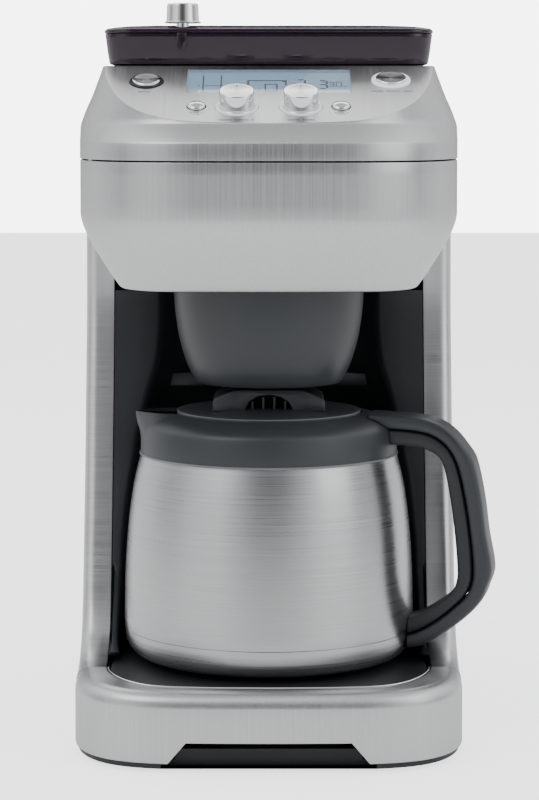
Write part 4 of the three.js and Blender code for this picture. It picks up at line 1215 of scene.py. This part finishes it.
# ------------------------------------------------------------------ jug
JUG_WALL = [(82.4, JUG_SEAM_Z), (82.7, 68), (82.3, 90), (81.2, 110), (79.2, 130), (76.6, 146),
            (73.2, JUG_TOP_Z)]
JUG_BASE = [(0, 44), (66, 44), (75.6, 46.2), (80.4, 51), (82, 56.5), (82.4, 61)]
COLLAR = [(73.4, 159.8), (73.2, 166), (72.2, 173), (70.6, 176.6), (66, 179.6), (59, 182), (53.6, 183.2)]
LINER = [(66, 50), (75, 55), (77.5, 68), (77, 90), (75.8, 112), (73.2, 134), (70, 150), (66.5, 159),
         (58, 170), (50, 174)]
HANDLE_OUTER = [(60, 184.4), (86, 183), (98, 180.4), (107, 175), (114, 167), (119.6, 158), (124, 138),
                (126.6, 118), (130, 98), (127.4, 88), (124, 80), (116, 71), (104, 61.5), (91, 53.6),
                (80, 51)]
HANDLE_MIDDLE = [(60, 175.4), (74, 175.4), (90, 174), (99, 170.6), (106, 164), (110.6, 154), (115, 134),
                 (117.8, 114), (119, 98), (118.4, 90), (115, 82.6), (109.4, 76.8), (99, 68), (88, 61.4),
                 (80, 58.8)]
HANDLE_INNER = [(60, 166.4), (84, 166), (94, 163.4), (101, 157.6), (105.2, 140), (108, 120), (109.8, 100),
                (109.6, 91), (106.6, 84), (100, 78.4), (90, 72), (80, 69)]
HANDLE_PLACE = JUG_PLACE @ Matrix.Rotation(HANDLE_TURN, 4, "Z")


def outside_wall(profile, wall, steps=6):
    """A closed wall profile: the smooth outer line and the same line moved inwards."""
    outer = smooth(profile, steps)
    inner = inset(outer, wall)
    return [tuple(p) for p in outer] + [tuple(p) for p in reversed(inner)] + [tuple(outer[0])]


def handle_rail(name, first, second, half, count=70):
    a = resample(smooth(first, 6), count)
    b = resample(smooth(second, 6), count)
    return rail(name, [(p, q, half) for p, q in zip(a, b)], place=HANDLE_PLACE)


def make_jug():
    body = lathe("jug_wall", outside_wall(JUG_WALL, 1.2), segments=160, place=JUG_PLACE)
    finish_piece(body, jug_steel, "jug", "jug_body")
    inner_base = [(max(r - 1.2, 0), z + 1.2) for r, z in reversed(JUG_BASE[:-1])]
    base = [(0, 44), (60, 44), (65, 44.1), *smooth(JUG_BASE[1:], 5)[1:], (82.2, 61.2), (81.4, 61.2),
            *inner_base]
    bottom = lathe("jug_foot", base, segments=160, place=JUG_PLACE)
    finish_piece(bottom, jug_steel, "jug", "jug_base", angle=25)
    liner = [(0, 50)] + [tuple(p) for p in smooth(LINER, 5)]
    inner = [(max(r - 1.0, 0), z + (0.9 if z < 60 else 0)) for r, z in reversed(liner)]
    vessel = lathe("jug_inside", liner + inner, segments=128, place=JUG_PLACE)
    finish_piece(vessel, liner_steel, "jug", "jug_liner")

    def spout(angle, r, z):
        """The collar runs out to a beak on the side away from the handle."""
        away = abs(math.atan2(math.sin(angle - math.pi), math.cos(angle - math.pi)))
        share = max(0.0, 1 - away / 0.30)
        rise = min(max((z - 163) / 17, 0), 1)
        reach = max(0.0, 76.2 - 3.2 * (1 - rise) - r) * share ** 0.8 * min(1.0, rise * 1.4)
        return r + reach, min(z + 1.2 * share * rise, 183.2)

    shell = lathe("collar_shell", outside_wall(COLLAR, 2.2, 8), segments=192, place=JUG_PLACE,
                  bulge=spout)
    bevel(shell, 0.3, 2, 50)
    finish_piece(shell, dark_plastic, "jug", "jug_collar", angle=35)
    # A light ring along the collar's lower edge: a painted highlight line.
    highlight_line = lathe("collar_highlight_line", [(73.3, 159.3), (74.0, 159.5), (74.1, 160.1), (73.6, 160.6),
                                 (73.0, 160.6), (73.3, 159.3)], segments=160, place=JUG_PLACE)
    finish_piece(highlight_line, highlight_plastic, "jug")

    arm = handle_rail("handle_shell", HANDLE_OUTER, HANDLE_MIDDLE, 12)
    grip = handle_rail("handle_inlay", [(x - 0.15, z) for x, z in HANDLE_MIDDLE], HANDLE_INNER, 10.8)
    keep = lathe("jug_space", [(0, 40), (82.9, 40), (83, 68), (82.7, 90), (81.6, 110), (79.6, 130),
                               (77, 146), (73.8, 160), (73.6, 167), (72.6, 173.4), (71, 177.2),
                               (66.2, 180.2), (59, 182.6), (53, 183.9), (53, 200),
                               (0, 200)], segments=128, place=JUG_PLACE)
    keep_again = keep.copy()
    keep_again.data = keep.data.copy()
    bpy.context.scene.collection.objects.link(keep_again)
    boolean(arm, keep)
    boolean(grip, keep_again)
    bevel(arm, 0.5, 3, 45)
    bevel(grip, 0.5, 3, 45)
    finish_piece(arm, dark_plastic, "jug", "jug_handle", angle=35)
    finish_piece(grip, grip_plastic, "jug", "handle_grip", angle=35)


def make_jug_lid():
    disc = [(0, 176), (48.6, 176), (49, 176.4), (49, 179.6), (52.2, 179.6), (52.6, 180), (52.6, 183.0),
            (52.2, 183.7), (51.2, 184.3), (49.6, 184.7), (44, 185.5), (30, 187), (14, 187.8), (0, 188)]
    lid = lathe("lid_disc", disc, segments=160, place=JUG_PLACE)
    wing_half = [(16, 198), (20, 197.6), (25, 195.6), (29, 193.6), (30.6, 192.6), (31.5, 191),
                 (31.5, 186)]
    tunnel_half = [(0, 195.2), (6, 194.4), (10.8, 191.6), (13.4, 187.2), (13.4, 184)]
    wing = frontways("lid_wing", both_sides(wing_half), -28, 16, JUG_PLACE)
    tunnel = frontways("lid_tunnel", both_sides(tunnel_half), -40, -6, JUG_PLACE)
    boolean(wing, tunnel)
    bevel(wing, 1.1, 4, 30)
    apply_modifiers(wing)
    ribs = [prism("rib", corners(x - 0.6, x + 0.6, -25, -6), 186, top, place=JUG_PLACE)
            for x, top in ((-9.2, 191.5), (-3.1, 193.8), (3.1, 193.8), (9.2, 191.5))]
    drain = lathe("drain", [(0, 170), (3, 170), (3, 200), (0, 200)], segments=48, place=JUG_PLACE)
    boolean(lid, drain)
    bevel(lid, 0.3, 2, 50)
    apply_modifiers(lid)
    whole = joined("lid_whole", lid, wing, *ribs)
    finish_piece(whole, dark_plastic, "jug_lid", "jug_lid", angle=35)
    # A light ring around the lid's rim: a painted highlight line.
    ring = lathe("lid_highlight_line", [(52.0, 183.4), (52.5, 183.5), (52.6, 183.9), (52.2, 184.2), (51.8, 184.0),
                              (52.0, 183.4)],
                 segments=160, place=JUG_PLACE)
    finish_piece(ring, highlight_plastic, "jug_lid")


# ------------------------------------------------------------------ pieces kept as made in CAD
KEPT = (
    (dark_plastic, ("tank_lid", "filter_basket", "basket_handle", "drip_stop", "spray_head", "gearbox",
                    "burr_carrier")),
    (black_plastic, ("grind_chute",)),
    (zinc, ("drip_spring", "door_latch", "hinge_pin", "grinder_motor", "ring_burr", "cone_burr")),
    (mesh_metal, ("mesh_filter",)),
    (clear, ("water_tank",)),
    (cast_aluminium, ("heater",)),
    (silicone, ("inlet_hose", "rise_hose")),
    (board_green, ("power_board", "control_board")),
    (rubber, ("cord_gland",)),
)


def dress_kept_pieces():
    for look, names in KEPT:
        for name in names:
            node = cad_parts[name]
            node.data.materials.clear()
            node.data.materials.append(look)
            shade(node, 32)
            bevel(node, 0.25, 2, 40)


make_jug()
make_jug_lid()
dress_kept_pieces()
